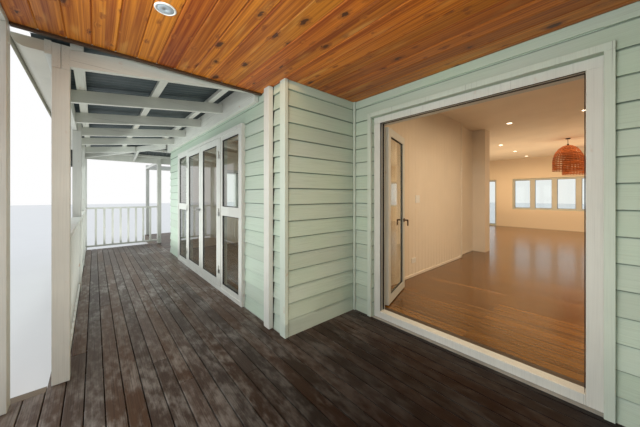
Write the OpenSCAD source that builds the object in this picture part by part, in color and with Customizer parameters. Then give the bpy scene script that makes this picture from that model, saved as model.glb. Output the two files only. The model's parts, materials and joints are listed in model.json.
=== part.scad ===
// Single-storey timber beach house: recessed entry porch, wrap-round lean-to verandah, two side pergolas.
// The front faces -Y, X runs along the front, and the ground is at z = 0 under the middle of the plan.

/* [Plan] */
// Length of the house along the front, over the weatherboards
house_w = 11630; // [10400:10:14000]
// Depth of the house from front wall to back wall, over the weatherboards
house_d = 11300; // [9800:10:13000]
// Thickness of the outer walls with boards and lining
wall_t = 180; // [140:5:220]
// Width of the recess in the front wall at the entry
recess_w = 2148; // [2000:2:2400]
// Depth of the recess behind the front wall
recess_d = 914; // [700:2:1300]
// Depth of the verandah from wall face to the outer face of its posts
verandah_d = 1521; // [1400:1:2200]

/* [Levels] */
// Height of the deck above the ground
deck_top = 200; // [180:5:400]
// Height of the room floor above the deck
floor_rise = 60; // [40:1:100]
// Height of the rooms from floor to ceiling
room_h = 2650; // [2560:10:3000]
// Distance from the wall tops down to the porch ceiling
porch_drop = 430; // [400:5:450]

/* [Weatherboards] */
// Visible height of one lapped board
board_cover = 150; // [100:5:200]
// How far the lower edge of a board stands proud of the top edge of the next
board_lap = 14; // [8:1:20]

/* [Decking] */
// Thickness of the deck boards
decking_t = 32; // [19:1:40]
// Width of a deck joist
joist_w = 45; // [35:1:60]
// Spacing of the deck joists
joist_gap = 450; // [400:10:600]
// How far the deck runs past the posts
deck_lip = 20; // [10:1:60]
// Width of the edge boards at the sides of the porch deck
deck_edge_w = 70; // [45:1:90]

/* [Posts and beams] */
// Side of a square post
post = 90; // [70:1:120]
// Depth of a verandah beam
beam_h = 166; // [140:1:170]
// Thickness of a verandah beam, which the posts are notched for
beam_t = 45; // [35:1:60]
// Distance from the middle of the front to the first verandah post
post_first = 1651; // [1640:1:1700]
// Spacing of the first two verandah posts on each side
post_gap = 2220; // [1900:5:2400]
// Width of the corner board on the front wall
corner_w = 80; // [60:1:100]
// Thickness of the corner board on the front wall
corner_t = 20; // [18:1:25]
// Width of the corner board in the recess
corner_side_w = 35; // [30:1:60]
// Width of the half post that ends the porch at the front wall
half_post_w = 100; // [90:1:180]
// Distance from the middle of the entry to the near edge of the half post
half_post_x = 1305; // [1200:1:1350]
// How far the half post stands out of the weatherboards
half_post_t = 47; // [30:1:60]

/* [Verandah roof] */
// Pitch of the verandah roof in degrees
lean_pitch = 7.7; // [6:0.1:8]
// Distance from the wall tops down to the rafter undersides at the wall
lean_drop = 399; // [390:1:430]
// How far the verandah beams hang below the rafter ends
beam_show = 23; // [10:1:40]
// Plumb depth of a rafter
rafter_h = 121; // [100:1:140]
// Thickness of a rafter
rafter_t = 45; // [35:1:60]
// Spacing of the rafters
rafter_gap = 900; // [700:10:1000]
// Width of a purlin laid flat
purlin_w = 70; // [65:1:90]
// Plumb thickness of a purlin
purlin_t = 45; // [35:1:50]
// Distance from the wall to the middle of the outermost purlin
purlin_first = 1396; // [1300:1:1396]
// Spacing of the purlins
purlin_gap = 600; // [500:5:620]
// How far the sheets reach past the fascia
sheet_reach = 60; // [40:1:90]
// Thickness of a roof sheet over its ribs
sheet_t = 18; // [12:1:24]
// Thickness of the ledger along the wall
ledger_t = 45; // [35:1:60]
// Height of the ledger
ledger_h = 260; // [200:1:280]
// Thickness of the fascia boards
fascia_t = 34; // [19:1:40]
// Height of the fascia boards
fascia_h = 95; // [90:1:130]
// Width of the gutter
gutter_w = 148; // [100:1:150]
// Height of the gutter
gutter_h = 73; // [60:1:90]
// Thickness of the gutter metal with its beads
gutter_t = 4; // [3:0.5:6]

/* [Main roof] */
// Pitch of the main roof in degrees
main_pitch = 22; // [18:1:26]
// Overhang of the main roof beyond the walls
main_eave = 400; // [300:10:440]
// Plumb thickness of the main roof with its rafters
main_roof_t = 130; // [100:5:150]
// Radius of the caps over ridge and hips
cap_r = 60; // [50:1:80]

/* [Porch] */
// Width of the porch ceiling
porch_w = 3052; // [2900:2:3080]
// How far the porch stands out past the verandah posts
porch_reach = 261; // [200:1:600]
// Thickness of the porch ceiling boards
ceiling_t = 20; // [15:1:30]
// Height of the boards that close the sides of the porch roof
porch_side_h = 290; // [280:1:320]
// Thickness of the porch side boards
porch_side_t = 34; // [19:1:34]
// Thickness of the trims under the side edges of the porch ceiling
ceiling_trim_t = 15; // [10:1:25]
// Overhang of the porch roof at its sides
porch_eave = 140; // [80:5:200]
// Overhang of the porch roof at its front
porch_verge = 150; // [60:5:300]

/* [Railings] */
// Height of the top rail above the deck
rail_top = 1000; // [900:5:1100]
// Thickness of the rails
rail_t = 35; // [30:1:50]
// Width of the top rail
rail_w = 90; // [60:1:100]
// Side of a square baluster
baluster = 40; // [30:1:45]
// Spacing of the balusters
baluster_gap = 159; // [120:1:165]
// Clear height under the bottom rail
rail_clear = 70; // [50:1:100]

/* [Entry doors] */
// Width of the entry frame
entry_w = 1659; // [1600:1:1800]
// Distance from the wall tops down to the top of the entry frame
entry_drop = 655; // [610:1:700]
// Visible width of the entry frame's jambs
entry_jamb = 75; // [60:1:90]
// Visible height of the entry frame's head
entry_head = 65; // [50:1:80]
// How far the entry frame stands back behind the weatherboards
entry_set = 39; // [20:1:50]
// Depth of the lip that the entry doors close against
entry_lip = 85; // [70:1:86]
// Width of the narrow entry door
entry_leaf_w = 700; // [650:1:760]
// Thickness of the entry doors
entry_leaf_t = 50; // [44:1:50]
// Angle at which both entry doors stand open in degrees
entry_open = 107; // [0:1:108]
// Width of the facing boards round the entry frame
facing_w = 45; // [35:1:60]
// Thickness of the facing boards round the entry frame
facing_t = 20; // [15:1:25]

/* [Verandah doors] */
// Width of the whole verandah door set
unit_w = 3000; // [2800:5:3200]
// Distance from the wall tops down to the top of the verandah door sets
unit_drop = 647; // [620:1:700]
// Width of the door pair in the set
pair_w = 1620; // [1500:5:1700]
// Visible width of the set's outer members
unit_member = 48; // [40:1:60]
// How far the set stands out of the weatherboards
unit_proud = 34; // [20:1:40]
// Depth of the set's members
unit_d = 110; // [100:1:120]
// Thickness of the verandah doors
leaf_t = 44; // [38:1:48]
// Width of the stiles and rails of doors
stile = 88; // [70:1:100]
// Width of the sash members of the side lights
sash = 54; // [45:1:60]
// Height of the middle of the side lights' middle rail above the deck
mid_rail_z = 1076; // [1000:1:1150]
// Height of the side lights' middle rail
mid_rail_h = 118; // [80:1:130]
// Clearance round a door in its frame
door_clear = 6; // [5:0.5:8]
// Clearance between the meeting doors of a pair
meeting_clear = 10; // [8:0.5:12]
// Distance of a hinge pin from the face of its door
pin_out = 8; // [6:0.5:12]
// Thickness of the glass
glass_t = 20; // [6:1:24]

/* [Door handles] */
// Height of the entry door's handle above the deck
entry_handle_z = 960; // [850:5:1100]
// Height of the verandah doors' handles above the deck
unit_handle_z = 1056; // [950:1:1100]
// Distance of a handle's grip from the face of its door
handle_out = 50; // [40:1:60]
// Length of a lever grip
grip_l = 125; // [100:5:140]
// Length of the turned-down grip of the entry door
entry_grip_l = 65; // [50:5:90]
// Radius of a grip
grip_r = 9; // [7:0.5:12]

/* [Windows] */
// Width of a side window
window_w = 1500; // [1200:10:1800]
// Height of a side window
window_h = 1180; // [1000:10:1300]
// Number of windows in each side wall
side_windows = 3; // [2:1:3]
// Height of the window sills above the deck
window_sill = 755; // [700:5:900]
// Number of panes in the row in the back wall
back_panes = 6; // [4:1:6]
// Spacing of the panes in the back row
back_pitch = 620; // [560:5:640]
// Width of one pane in the back row
back_pane_w = 475; // [420:5:500]
// Width of a glazed end unit in the back wall
back_unit_w = 1600; // [1200:10:1800]
// Distance from the middle of the back wall to a glazed end unit
back_unit_x = 2390; // [2350:10:2600]
// Width of the window frame members
window_member = 60; // [45:1:70]
// Depth of the window frames
window_d = 100; // [80:1:120]

/* [Rooms] */
// Distance from the recess corner line to the hall wall's face
hall_offset = 72; // [50:1:120]
// Length of the hall wall from the entry wall
hall_wall_l = 3090; // [2600:10:3600]
// Thickness of the inner walls
inner_t = 110; // [90:5:130]
// How far the wall beyond the hall wall is set back from its face
nook_offset = 95; // [60:5:105]
// Distance from the entry wall's outer face to the wall nib
nib_y = 4126; // [3900:2:4400]
// Thickness of the wall nib
nib_t = 300; // [200:10:400]
// How far the nib stands out past the hall wall's face
nib_reach = 150; // [80:5:250]
// Thickness of the ceiling
room_ceiling_t = 50; // [30:5:80]

/* [Lamps] */
// Radius of a ceiling light
light_r = 55; // [40:1:80]
// Thickness of a ceiling light's rim
light_t = 6; // [4:1:12]
// Distance of the porch lights from the middle of the porch
light_x = 790; // [500:10:1000]
// Distance of the porch lights from the front of the porch
light_y = 780; // [500:10:1200]
// Spacing of the hall lights
light_step = 1050; // [800:10:1400]
// Distance from the wall nib back to the hall lights
hall_light_set = 166; // [100:2:600]
// Distance of the room lights from the middle of the room
room_light_x = 1290; // [1000:10:1600]
// Distance from the back of the house to the last room light
room_light_back = 846; // [600:2:1200]
// Spacing of the room lights
room_light_step = 1560; // [1200:10:1700]
// Radius of a dome lamp at its rim
lamp_r = 300; // [250:5:400]
// Height of a dome lamp
lamp_h = 630; // [450:5:700]
// Height of the straight lower part of a dome lamp
lamp_side = 190; // [100:5:250]
// Thickness of a dome lamp's shell
lamp_t = 10; // [6:1:16]
// Distance from the room ceiling down to the dome lamps' rims
lamp_drop = 801; // [740:1:1100]
// Distance of the dome lamps from the middle of the room
lamp_x = 60; // [0:10:300]
// Distance from the back of the house to the last dome lamp
lamp_back = 1946; // [1500:2:2400]
// Spacing of the dome lamps
lamp_step = 1740; // [1200:10:2200]

/* [Post light] */
// Width of the light on the second verandah post
post_light_w = 100; // [80:5:140]
// Depth of the post light
post_light_d = 90; // [60:5:120]
// Height of the post light
post_light_h = 221; // [180:1:260]
// Height of the post light's underside above the deck
post_light_z = 1664; // [1500:2:1800]

/* [Pergola] */
// How far a pergola reaches past the verandah posts
pergola_d = 2025; // [1500:5:2400]
// Length of a pergola along the side of the house
pergola_l = 4490; // [3600:10:5000]
// Depth of a pergola beam
pergola_beam = 140; // [120:1:166]
// Number of cross beams between the end beams of a pergola
pergola_bars = 3; // [2:1:4]

/* [Hidden] */

eps = 1;
joint_gap = 2;
white = "#f1efe6";
sage = "#cfdccb";
iron = "#4a5358";

// House outline: wall faces, recess and verandah post line
x_out = house_w / 2;
x_in = recess_w / 2;
y_front = -house_d / 2;
y_back = house_d / 2;
y_entry = y_front + recess_d;
y_post = y_front - verandah_d;
x_post = x_out + verandah_d;
y_porch = y_post - porch_reach;

// Levels above the ground
floor_top = deck_top + floor_rise;
wall_top = floor_top + room_h + room_ceiling_t;
porch_z = wall_top - porch_drop;
entry_h = wall_top - deck_top - entry_drop;
unit_h = wall_top - deck_top - unit_drop;

// Verandah roof: heights of rafter top and sheet at the wall, and reach of the sheets
slope = tan(lean_pitch);
seat_gap = 0.3;
rafter_z = wall_top - lean_drop;
beam_z = rafter_z - (verandah_d - post) * slope - beam_show;
purlin_z = rafter_z + rafter_h + seat_gap;
sheet_z = purlin_z + purlin_t + seat_gap;
sheet_d = verandah_d + fascia_t + sheet_reach;
run_front = x_out - post_first + post / 2;
run_side = house_d;
hip_clear = 4;

// Doors
unit_x = (x_in + x_out) / 2;
unit_y = y_front - unit_proud;
mullion = 44;
door_stop = 13;
pair_clear = pair_w - mullion;
leaf_w = pair_clear / 2 - door_clear - meeting_clear / 2;
sill_h = floor_rise + 4;
sill_unit = 50;
leaf_bottom = floor_top + 14;
entry_y = y_entry + entry_set;
entry_leaf_y = entry_y + entry_lip + door_clear;
jamb_back = 13;
entry_edge = entry_w / 2 - jamb_back - door_clear;
entry_pin_side = 10;
entry_pin_x = entry_edge + entry_pin_side;
entry_pin_y = entry_leaf_y + entry_leaf_t + pin_out;
entry_leaf_h = deck_top + entry_h - entry_head - door_clear - leaf_bottom;
wide_leaf_w = 2 * entry_edge - meeting_clear - entry_leaf_w;
unit_leaf_z = deck_top + sill_unit + door_clear;
unit_leaf_h = unit_h - unit_member - sill_unit - 2 * door_clear;

// Hinges
knuckle_r = 7;
knuckle_h = 50;
plate_t = 4;
plate_w = 38;
hinge_inset = 180;

// Round plates behind the handles
rose_r = 26;
rose_t = 8;

corner_side_t = 6;

// Pergola
pergola_y = y_front - 20;
pergola_x = x_post + pergola_d;

// Repeats what it is given on the mirrored half of the house
module both() {
    children();
    mirror([1, 0, 0]) children();
}

module box(x0, x1, y0, y1, z0, z1) {
    translate([x0, y0, z0]) cube([x1 - x0, y1 - y0, z1 - z0]);
}

// Section of a boarded wall: lapped boards on the face at y = 0, smooth lining at y = wall_t
function board_count(h) = ceil(h / board_cover);
function board_points(h) = [
    for (i = [0:board_count(h) - 1])
        each [[0, i * board_cover], [board_lap, min((i + 1) * board_cover, h)]]
];

// Boarded wall along X whose lapped face looks to -Y. Ends are mitred by cut_a and cut_b:
// 1 turns an outer corner, -1 an inner corner, 0 is square.
module boarded(xa, xb, z0, z1, cut_a = 0, cut_b = 0) {
    h = z1 - z0;
    plan = [[xa, 0], [xb, 0], [xb - cut_b * wall_t, wall_t], [xa + cut_a * wall_t, wall_t]];
    reach = 2 * wall_t;
    translate([0, 0, z0])
        intersection() {
            translate([xa - reach, 0, 0]) rotate([90, 0, 90]) linear_extrude(xb - xa + 2 * reach)
                polygon(concat(board_points(h), [[wall_t, h], [wall_t, 0]]));
            linear_extrude(h) polygon(plan);
        }
}

// Rectangular ring in the XZ plane with its outer corner at the origin and its face at y = 0
module ring(w, h, t, side, top, bottom) {
    difference() {
        cube([w, t, h]);
        translate([side, -eps, bottom]) cube([w - 2 * side, t + 2 * eps, h - top - bottom]);
    }
}

// Places a lean-to run: 0 is the front on the left, 1 the side on the left.
// In a run the wall face is y = 0, the eave is at -Y and the house corner is the origin.
module run_frame(side) {
    translate([-x_out, y_front, 0]) rotate(side == 0 ? 0 : -90) children();
}

// Plan of a run out to a reach from the wall. The front run ends at `near`.
function run_plan(side, reach, near = run_front) = side == 0
    ? [[0, 0], [near, 0], [near, -reach], [-reach, -reach]]
    : [[-run_side, 0], [-hip_clear, 0], [reach - hip_clear, -reach], [-run_side, -reach]];

// Bar along X on the slope: y is the middle of its width, z its underside at the wall
module slope_bar(y, w, z, t, length) {
    rotate([90, 0, 90]) linear_extrude(length)
        polygon([for (p = [[-1, 0], [1, 0], [1, 1], [-1, 1]])
            [y + p[0] * w / 2, z + (y + p[0] * w / 2) * slope + p[1] * t]]);
}

module rafter(x, y_low, y_high) {
    translate([x - rafter_t / 2, 0, 0]) rotate([90, 0, 90]) linear_extrude(rafter_t)
        polygon([[y_low, rafter_z + y_low * slope], [y_high, rafter_z + y_high * slope],
            [y_high, rafter_z + rafter_h + y_high * slope], [y_low, rafter_z + rafter_h + y_low * slope]]);
}

hip_half = rafter_t / 2 * sqrt(2);

// A rafter ends at the beam, or at the post beside the beam where one stands in its way
function post_at(side, x) = min(side == 0
    ? [for (p = front_posts) abs(x_out - x - p)]
    : [for (p = side_posts) abs(y_front - x - p)]) < (post + rafter_t) / 2 + joint_gap;
function rafter_low(side, x) = -(verandah_d - (post_at(side, x) ? post : beam_t));

module rafters(side) {
    first = run_front - rafter_t / 2;
    last = run_side - rafter_t / 2;
    span = side == 0 ? first : last;
    sgn = side == 0 ? 1 : -1;
    for (x = [span:-rafter_gap:rafter_t]) rafter(sgn * x, rafter_low(side, sgn * x), -ledger_t);
    jack = rafter_gap * 0.6;
    rafter(-sgn * jack, rafter_low(side, -sgn * jack), -(jack + rafter_t / 2 + hip_half + joint_gap));
}

// Hip rafter in the frame of the front run, on the 45 degree line out of the house corner
module hip_rafter() {
    low = (verandah_d - beam_t) * sqrt(2) - rafter_t / 2 - joint_gap;
    high = (ledger_t + joint_gap) * sqrt(2) + rafter_t / 2;
    fall = slope / sqrt(2);
    drop = rafter_t / 2 * fall;
    rotate(-45) translate([-rafter_t / 2, 0, rafter_z - drop]) rotate([90, 0, 90]) linear_extrude(rafter_t)
        polygon([[-low, -low * fall], [-high, -high * fall],
            [-high, rafter_h - high * fall], [-low, rafter_h - low * fall]]);
}

module purlins(side) {
    for (d = [purlin_first:-purlin_gap:purlin_w])
        intersection() {
            translate([side == 0 ? -sheet_d : -run_side, 0, 0])
                slope_bar(-d, purlin_w, purlin_z, purlin_t, run_side + sheet_d);
            linear_extrude(wall_top) polygon(run_plan(side, sheet_d));
        }
}

// The sheets run on past the last rafter to the side of the porch
module sheets(side) {
    intersection() {
        translate([side == 0 ? -sheet_d : -run_side, 0, 0])
            slope_bar(-sheet_d / 2, sheet_d, sheet_z, sheet_t, run_side + sheet_d);
        linear_extrude(wall_top) polygon(run_plan(side, sheet_d, x_out - porch_half - seat_gap));
    }
}

// Quad gutter section: flat back at x = 0, rounded front, open top
module gutter_outline(inset) {
    r = gutter_h - inset;
    w = gutter_w - 2 * inset;
    translate([-gutter_w + inset, 0]) {
        translate([0, gutter_h - (gutter_h - inset)]) square([0.01, r]);
        intersection() {
            translate([r, gutter_h]) circle(r = r, $fn = 48);
            square([r, gutter_h]);
        }
        translate([r, inset]) square([w - r, gutter_h - inset]);
    }
}

module gutter_section() {
    difference() {
        gutter_outline(0);
        translate([0, eps]) gutter_outline(gutter_t);
    }
}

// Gutter along X behind which the fascia stands at y = -back
module gutter_run(xa, xb, back, z) {
    translate([xa, -back, z]) rotate([90, 0, 90]) linear_extrude(xb - xa) gutter_section();
}

// Gutter of a lean-to run, with a stop end where the run ends
module lean_gutter(side) {
    back = verandah_d + fascia_t;
    reach = back + gutter_w;
    z = fascia_top - gutter_h - gutter_below;
    intersection() {
        translate([side == 0 ? -reach : -run_side, -back, z])
            rotate([90, 0, 90]) linear_extrude(run_side + reach) gutter_section();
        linear_extrude(wall_top) polygon(run_plan(side, reach));
    }
    translate([side == 0 ? run_front - gutter_t : -run_side, -back, z])
        rotate([90, 0, 90]) linear_extrude(gutter_t) gutter_outline(0);
}

ledger_top = sheet_z - ledger_t * slope - seat_gap;
fascia_top = sheet_z - (verandah_d + fascia_t) * slope - seat_gap;
fascia_z = fascia_top - fascia_h;
gutter_below = 12;

// Railing bay along X between post faces
module railing(xa, xb) {
    length = xb - xa;
    count = ceil(length / baluster_gap) - 1;
    step = length / (count + 1);
    low = deck_top + rail_clear;
    high = deck_top + rail_top - rail_t;
    box(xa + seat_gap, xb - seat_gap, -rail_w / 2, rail_w / 2, high, high + rail_t);
    box(xa + seat_gap, xb - seat_gap, -rail_t, rail_t, low, low + rail_t);
    for (i = [1:count])
        translate([xa + i * step - baluster / 2, -baluster / 2, low + rail_t])
            cube([baluster, baluster, high - low - rail_t]);
}

// Post places along the front and the side, as distances of post middles from the house middle
post_y = y_post + post / 2;
post_x = x_post - post / 2;
post_mid = (post_first + post_gap + post_x) / 2;
front_posts = [post_first, post_first + post_gap, post_mid, post_x];
pergola_mid = pergola_y + pergola_l / 2;
pergola_end = pergola_y + pergola_l - post;
back_post = y_back - post / 2;
back_bays = 3;
side_posts = [pergola_y + post / 2, pergola_mid, pergola_end + post / 2,
    for (i = [1:back_bays]) pergola_end + post / 2 + i * (back_post - pergola_end - post / 2) / back_bays];

// Plan of the rooms in three bays between given insets: the back bay and one bay beside the recess each side
module room_bays(inset, gap, z0, z1) {
    box(-x_out + inset, x_out - inset, y_entry + inset, y_back - inset, z0, z1);
    both() box(-x_out + inset, -x_in - inset, y_front + inset, y_entry + inset - gap, z0, z1);
}

module house_slab() color("#9b9a94") room_bays(0, joint_gap, 0, deck_top);
module room_floor() color("#a8713f") room_bays(wall_t, seat_gap, deck_top, floor_top);

deck_z = deck_top - decking_t;
porch_deck_x = porch_w / 2 + porch_side_t;
deck_y = y_post - deck_lip;
deck_x = x_post + deck_lip;
porch_deck_y = y_porch - deck_lip;

module porch_deck() color("#5a4338") translate([0, 0, deck_z]) linear_extrude(decking_t)
    polygon([[-porch_deck_x, porch_deck_y], [porch_deck_x, porch_deck_y], [porch_deck_x, y_front],
        [x_in, y_front], [x_in, y_entry], [-x_in, y_entry], [-x_in, y_front], [-porch_deck_x, y_front]]);

module verandah_decks() color("#5a4a42") both() {
    gap = 5;
    box(-x_out, -porch_deck_x - gap, deck_y, y_front, deck_z, deck_top);
    box(-deck_x, -x_out - joint_gap, deck_y, y_back, deck_z, deck_top);
    box(-pergola_x - deck_lip, -deck_x - gap, pergola_y - deck_lip, pergola_y + pergola_l + deck_lip,
        deck_z, deck_top);
}

module deck_joists() color("#7a6a58") {
    rim = joist_w + joint_gap;
    for (x = [-porch_deck_x:(2 * porch_deck_x - joist_w) / 7:porch_deck_x - joist_w + eps])
        box(x, x + joist_w, porch_deck_y + rim, abs(x + joist_w / 2) < x_in - joist_w ? y_entry : y_front,
            0, deck_z);
    box(-porch_deck_x, porch_deck_x, porch_deck_y, porch_deck_y + joist_w, 0, deck_z);
    both() {
        for (x = [porch_deck_x + joist_gap:joist_gap:x_out])
            box(-x - joist_w, -x, deck_y + rim, y_front, 0, deck_z);
        for (x = [0:(deck_x - x_out - joist_w - 10) / 3:deck_x - x_out - joist_w])
            box(-deck_x + x, -deck_x + x + joist_w, deck_y + rim, y_back, 0, deck_z);
        box(-deck_x, -porch_deck_x - rim, deck_y, deck_y + joist_w, 0, deck_z);
        for (x = [deck_x + joist_gap:joist_gap:pergola_x + deck_lip - joist_w])
            box(-x - joist_w, -x, pergola_y - deck_lip + rim, pergola_y + pergola_l + deck_lip - rim,
                0, deck_z);
        for (y = [pergola_y - deck_lip, pergola_y + pergola_l + deck_lip - joist_w])
            box(-pergola_x - deck_lip, -deck_x - joint_gap, y, y + joist_w, 0, deck_z);
        box(-pergola_x - deck_lip, -pergola_x - deck_lip + joist_w, pergola_y - deck_lip + rim,
            pergola_y + pergola_l + deck_lip - rim, 0, deck_z);
        edge_x = -porch_deck_x - seat_gap;
        box(edge_x - deck_edge_w, edge_x, porch_deck_y, deck_y - joint_gap, 0, deck_top);
    }
}

// Walls: the entry wall stands back in the recess, and the return walls join it to the front wall
module entry_wall_piers() color(sage) both()
    translate([0, y_entry, 0]) boarded(-x_in, -entry_w / 2, deck_top, wall_top, -1, 0);

module return_walls() color(sage) both()
    translate([-x_in, 0, 0]) rotate(90) boarded(y_front, y_entry, deck_top, wall_top, 1, -1);

module front_wall_piers() color(sage) both() translate([0, y_front, 0]) {
    boarded(-unit_x + unit_w / 2, -x_in, deck_top, wall_top, 0, 1);
    boarded(-x_out, -unit_x - unit_w / 2, deck_top, wall_top, 1, 0);
}

module door_heads() color(sage) {
    translate([0, y_entry, 0]) boarded(-entry_w / 2, entry_w / 2, deck_top + entry_h, wall_top);
    both() translate([0, y_front, 0])
        boarded(-unit_x - unit_w / 2, -unit_x + unit_w / 2, deck_top + unit_h, wall_top);
}

// White boards that cover the corner of the front wall and the recess, up to the porch ceiling
module corner_boards() color(white) both() translate([-x_in, y_front, deck_top]) difference() {
    translate([-corner_w, -corner_t, 0])
        cube([corner_w + corner_side_t, corner_side_w, porch_z - deck_top - seat_gap]);
    translate([-corner_w - eps, -seat_gap, -eps])
        cube([corner_w + eps + seat_gap, corner_side_w, porch_z - deck_top + 2 * eps]);
}

side_step = house_d / side_windows;
function side_window_y(i) = y_front + (i + 0.5) * side_step;

module side_walls() color(sage) both() difference() {
    translate([-x_out, 0, 0]) rotate(-90) boarded(-y_back, -y_front, deck_top, wall_top, 1, 1);
    for (i = [0:side_windows - 1])
        box(-x_out - eps, -x_out + wall_t + eps, side_window_y(i) - window_w / 2,
            side_window_y(i) + window_w / 2, deck_top + window_sill, deck_top + window_sill + window_h);
}

back_row_w = (back_panes - 1) * back_pitch + back_pane_w + 2 * window_member;
back_unit_h = window_sill + window_h - floor_rise;

module back_wall() color(sage) difference() {
    rotate(180) translate([0, -y_back, 0]) boarded(-x_out, x_out, deck_top, wall_top, 1, 1);
    box(-back_row_w / 2, back_row_w / 2, y_back - wall_t - eps, y_back + eps,
        deck_top + window_sill, deck_top + window_sill + window_h);
    both() box(-back_unit_x - back_unit_w, -back_unit_x, y_back - wall_t - eps, y_back + eps,
        floor_top, floor_top + back_unit_h);
}

hall_x = x_in + hall_offset;

// Hall wall, then a stretch that is set back behind it, then the nib that ends the hall
module hall_walls() color("#efe9dc") {
    ceiling_z = floor_top + room_h;
    y_nook = y_entry + wall_t + hall_wall_l;
    y_nib = y_entry + nib_y;
    box(-hall_x - inner_t, -hall_x, y_entry + wall_t, y_nook, floor_top, ceiling_z);
    box(-hall_x - nook_offset - inner_t, -hall_x - nook_offset, y_nook + seat_gap, y_nib - seat_gap,
        floor_top, ceiling_z);
    box(-hall_x - nook_offset - inner_t, -hall_x + nib_reach, y_nib, y_nib + nib_t, floor_top, ceiling_z);
}

module room_ceiling() color("#f4f0e8") room_bays(wall_t, seat_gap, floor_top + room_h, wall_top);

roof_seat = 30;

// Porch: corner posts and half posts carry a boarded ceiling under a small gabled roof
module porch_ceiling() color("#b9692f") translate([0, 0, porch_z]) linear_extrude(ceiling_t)
    polygon([[-porch_w / 2, y_porch + post], [porch_w / 2, y_porch + post], [porch_w / 2, y_front],
        [x_in, y_front], [x_in, y_entry], [-x_in, y_entry], [-x_in, y_front], [-porch_w / 2, y_front]]);

porch_beam_drop = 30;
porch_half = porch_w / 2 + porch_side_t;
porch_roof_z = porch_z + porch_side_h;
porch_side_z = wall_top - roof_seat - main_eave * tan(main_pitch) - 12;
porch_side_y = y_front - main_eave - gutter_w - 12;

module porch_beams() color(white) {
    box(-porch_half, porch_half, y_porch, y_porch + post - joint_gap, porch_z - porch_beam_drop, porch_roof_z);
    both() translate([-porch_half, 0, 0]) rotate([90, 0, 90]) linear_extrude(porch_side_t)
        polygon([[y_porch + post, porch_z], [y_front, porch_z], [y_front, porch_side_z],
            [porch_side_y, porch_side_z], [porch_side_y, porch_roof_z], [y_porch + post, porch_roof_z]]);
}

// Trims under the side boards, along the edges of the porch ceiling
module ceiling_trims() color("#4a3222") both()
    box(-porch_half, -porch_half + porch_side_t, y_porch + post + seat_gap, y_front - seat_gap,
        porch_z - ceiling_trim_t, porch_z - seat_gap);

module porch_posts() color(white) both() {
    box(-porch_half, -porch_half + post, y_porch, y_porch + post, deck_top, porch_z - porch_beam_drop);
    box(-half_post_x - half_post_w, -half_post_x, y_front - half_post_t, y_front, deck_top, porch_z);
}

// Post under the beam, whose inner half goes on up beside the beam, on the +Y side
module notched_post() {
    h = beam_z - deck_top;
    translate([-post / 2, 0, 0]) {
        cube([post, post, h]);
        translate([0, beam_t + joint_gap, h + seat_gap]) cube([post, post - beam_t - joint_gap, beam_h - seat_gap]);
    }
}

module verandah_posts() color(white) both() {
    for (x = [post_first, x_post - post / 2])
        box(-x - post / 2, -x + post / 2, y_post, y_post + post, deck_top, beam_z);
    for (i = [1, 2]) translate([-front_posts[i], y_post, deck_top]) notched_post();
    for (y = side_posts) translate([-x_post, y, deck_top]) rotate(-90) notched_post();
    for (y = [side_posts[0], side_posts[1], side_posts[2]])
        box(-pergola_x, -pergola_x + post, y - post / 2, y + post / 2, deck_top, beam_z);
}

// Beams along the posts' outer faces, with a block on the first post behind the end of the front beam
module verandah_beams() color(white) both() {
    box(-post_first - post / 2, -post_first + post / 2, y_post + beam_t + joint_gap, y_post + post,
        beam_z, beam_z + beam_h);
    box(-x_post, -post_first + post / 2, y_post, y_post + beam_t, beam_z, beam_z + beam_h);
    box(-x_post, -x_post + beam_t, y_post + beam_t + joint_gap, y_back, beam_z, beam_z + beam_h);
}

module verandah_rafters() color(white) both() {
    run_frame(0) {
        rafters(0);
        hip_rafter();
    }
    run_frame(1) rafters(1);
}

module verandah_purlins() color(white) both() for (side = [0, 1]) run_frame(side) purlins(side);

module verandah_roof() color(iron) both() for (side = [0, 1]) run_frame(side) sheets(side);

module ledgers() color(white) both() for (side = [0, 1]) run_frame(side) intersection() {
    box(-run_side, run_side, -ledger_t, 0, ledger_top - ledger_h, ledger_top);
    linear_extrude(wall_top) polygon(run_plan(side, sheet_d));
}

module verandah_fascias() color(white) both() for (side = [0, 1]) run_frame(side) intersection() {
    box(-run_side, run_side, -verandah_d - fascia_t, -verandah_d, fascia_z, fascia_z + fascia_h);
    linear_extrude(wall_top) polygon(run_plan(side, sheet_d));
}

module railings() color(white) both() {
    for (i = [0:2])
        translate([0, post_y, 0]) railing(-front_posts[i + 1] + post / 2, -front_posts[i] - post / 2);
    translate([-post_x, 0, 0]) rotate(90) {
        railing(y_post + post, side_posts[0] - post / 2);
        for (i = [2:back_bays + 1]) railing(side_posts[i] + post / 2, side_posts[i + 1] - post / 2);
    }
}

module pergola_frames() color(white) both() {
    z1 = beam_z + pergola_beam;
    length = pergola_l - post;
    box(-pergola_x, -pergola_x + post, pergola_y, pergola_y + pergola_l, beam_z, z1);
    for (i = [0:pergola_bars + 1])
        box(-pergola_x + post + seat_gap, -x_post - seat_gap, pergola_y + i * length / (pergola_bars + 1),
            pergola_y + i * length / (pergola_bars + 1) + post, beam_z, min(z1, fascia_z - 3));
}

// Entry doors: an L section frame whose front lip stops a narrow and a wide door opening inward
module entry_frame() color(white) {
    w = entry_w / 2;
    y_lip = entry_y + entry_lip;
    y_in = y_entry + wall_t;
    head_z = deck_top + entry_h - entry_head;
    both() {
        box(-w, -w + entry_jamb, entry_y, y_lip, deck_top, head_z - seat_gap);
        box(-w, -w + jamb_back, y_lip + seat_gap, y_in, deck_top, head_z - seat_gap);
    }
    box(-w, w, entry_y, y_in, head_z, deck_top + entry_h);
    box(-w + entry_jamb + seat_gap, w - entry_jamb - seat_gap, entry_y, y_lip, deck_top, deck_top + sill_h);
}

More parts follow.
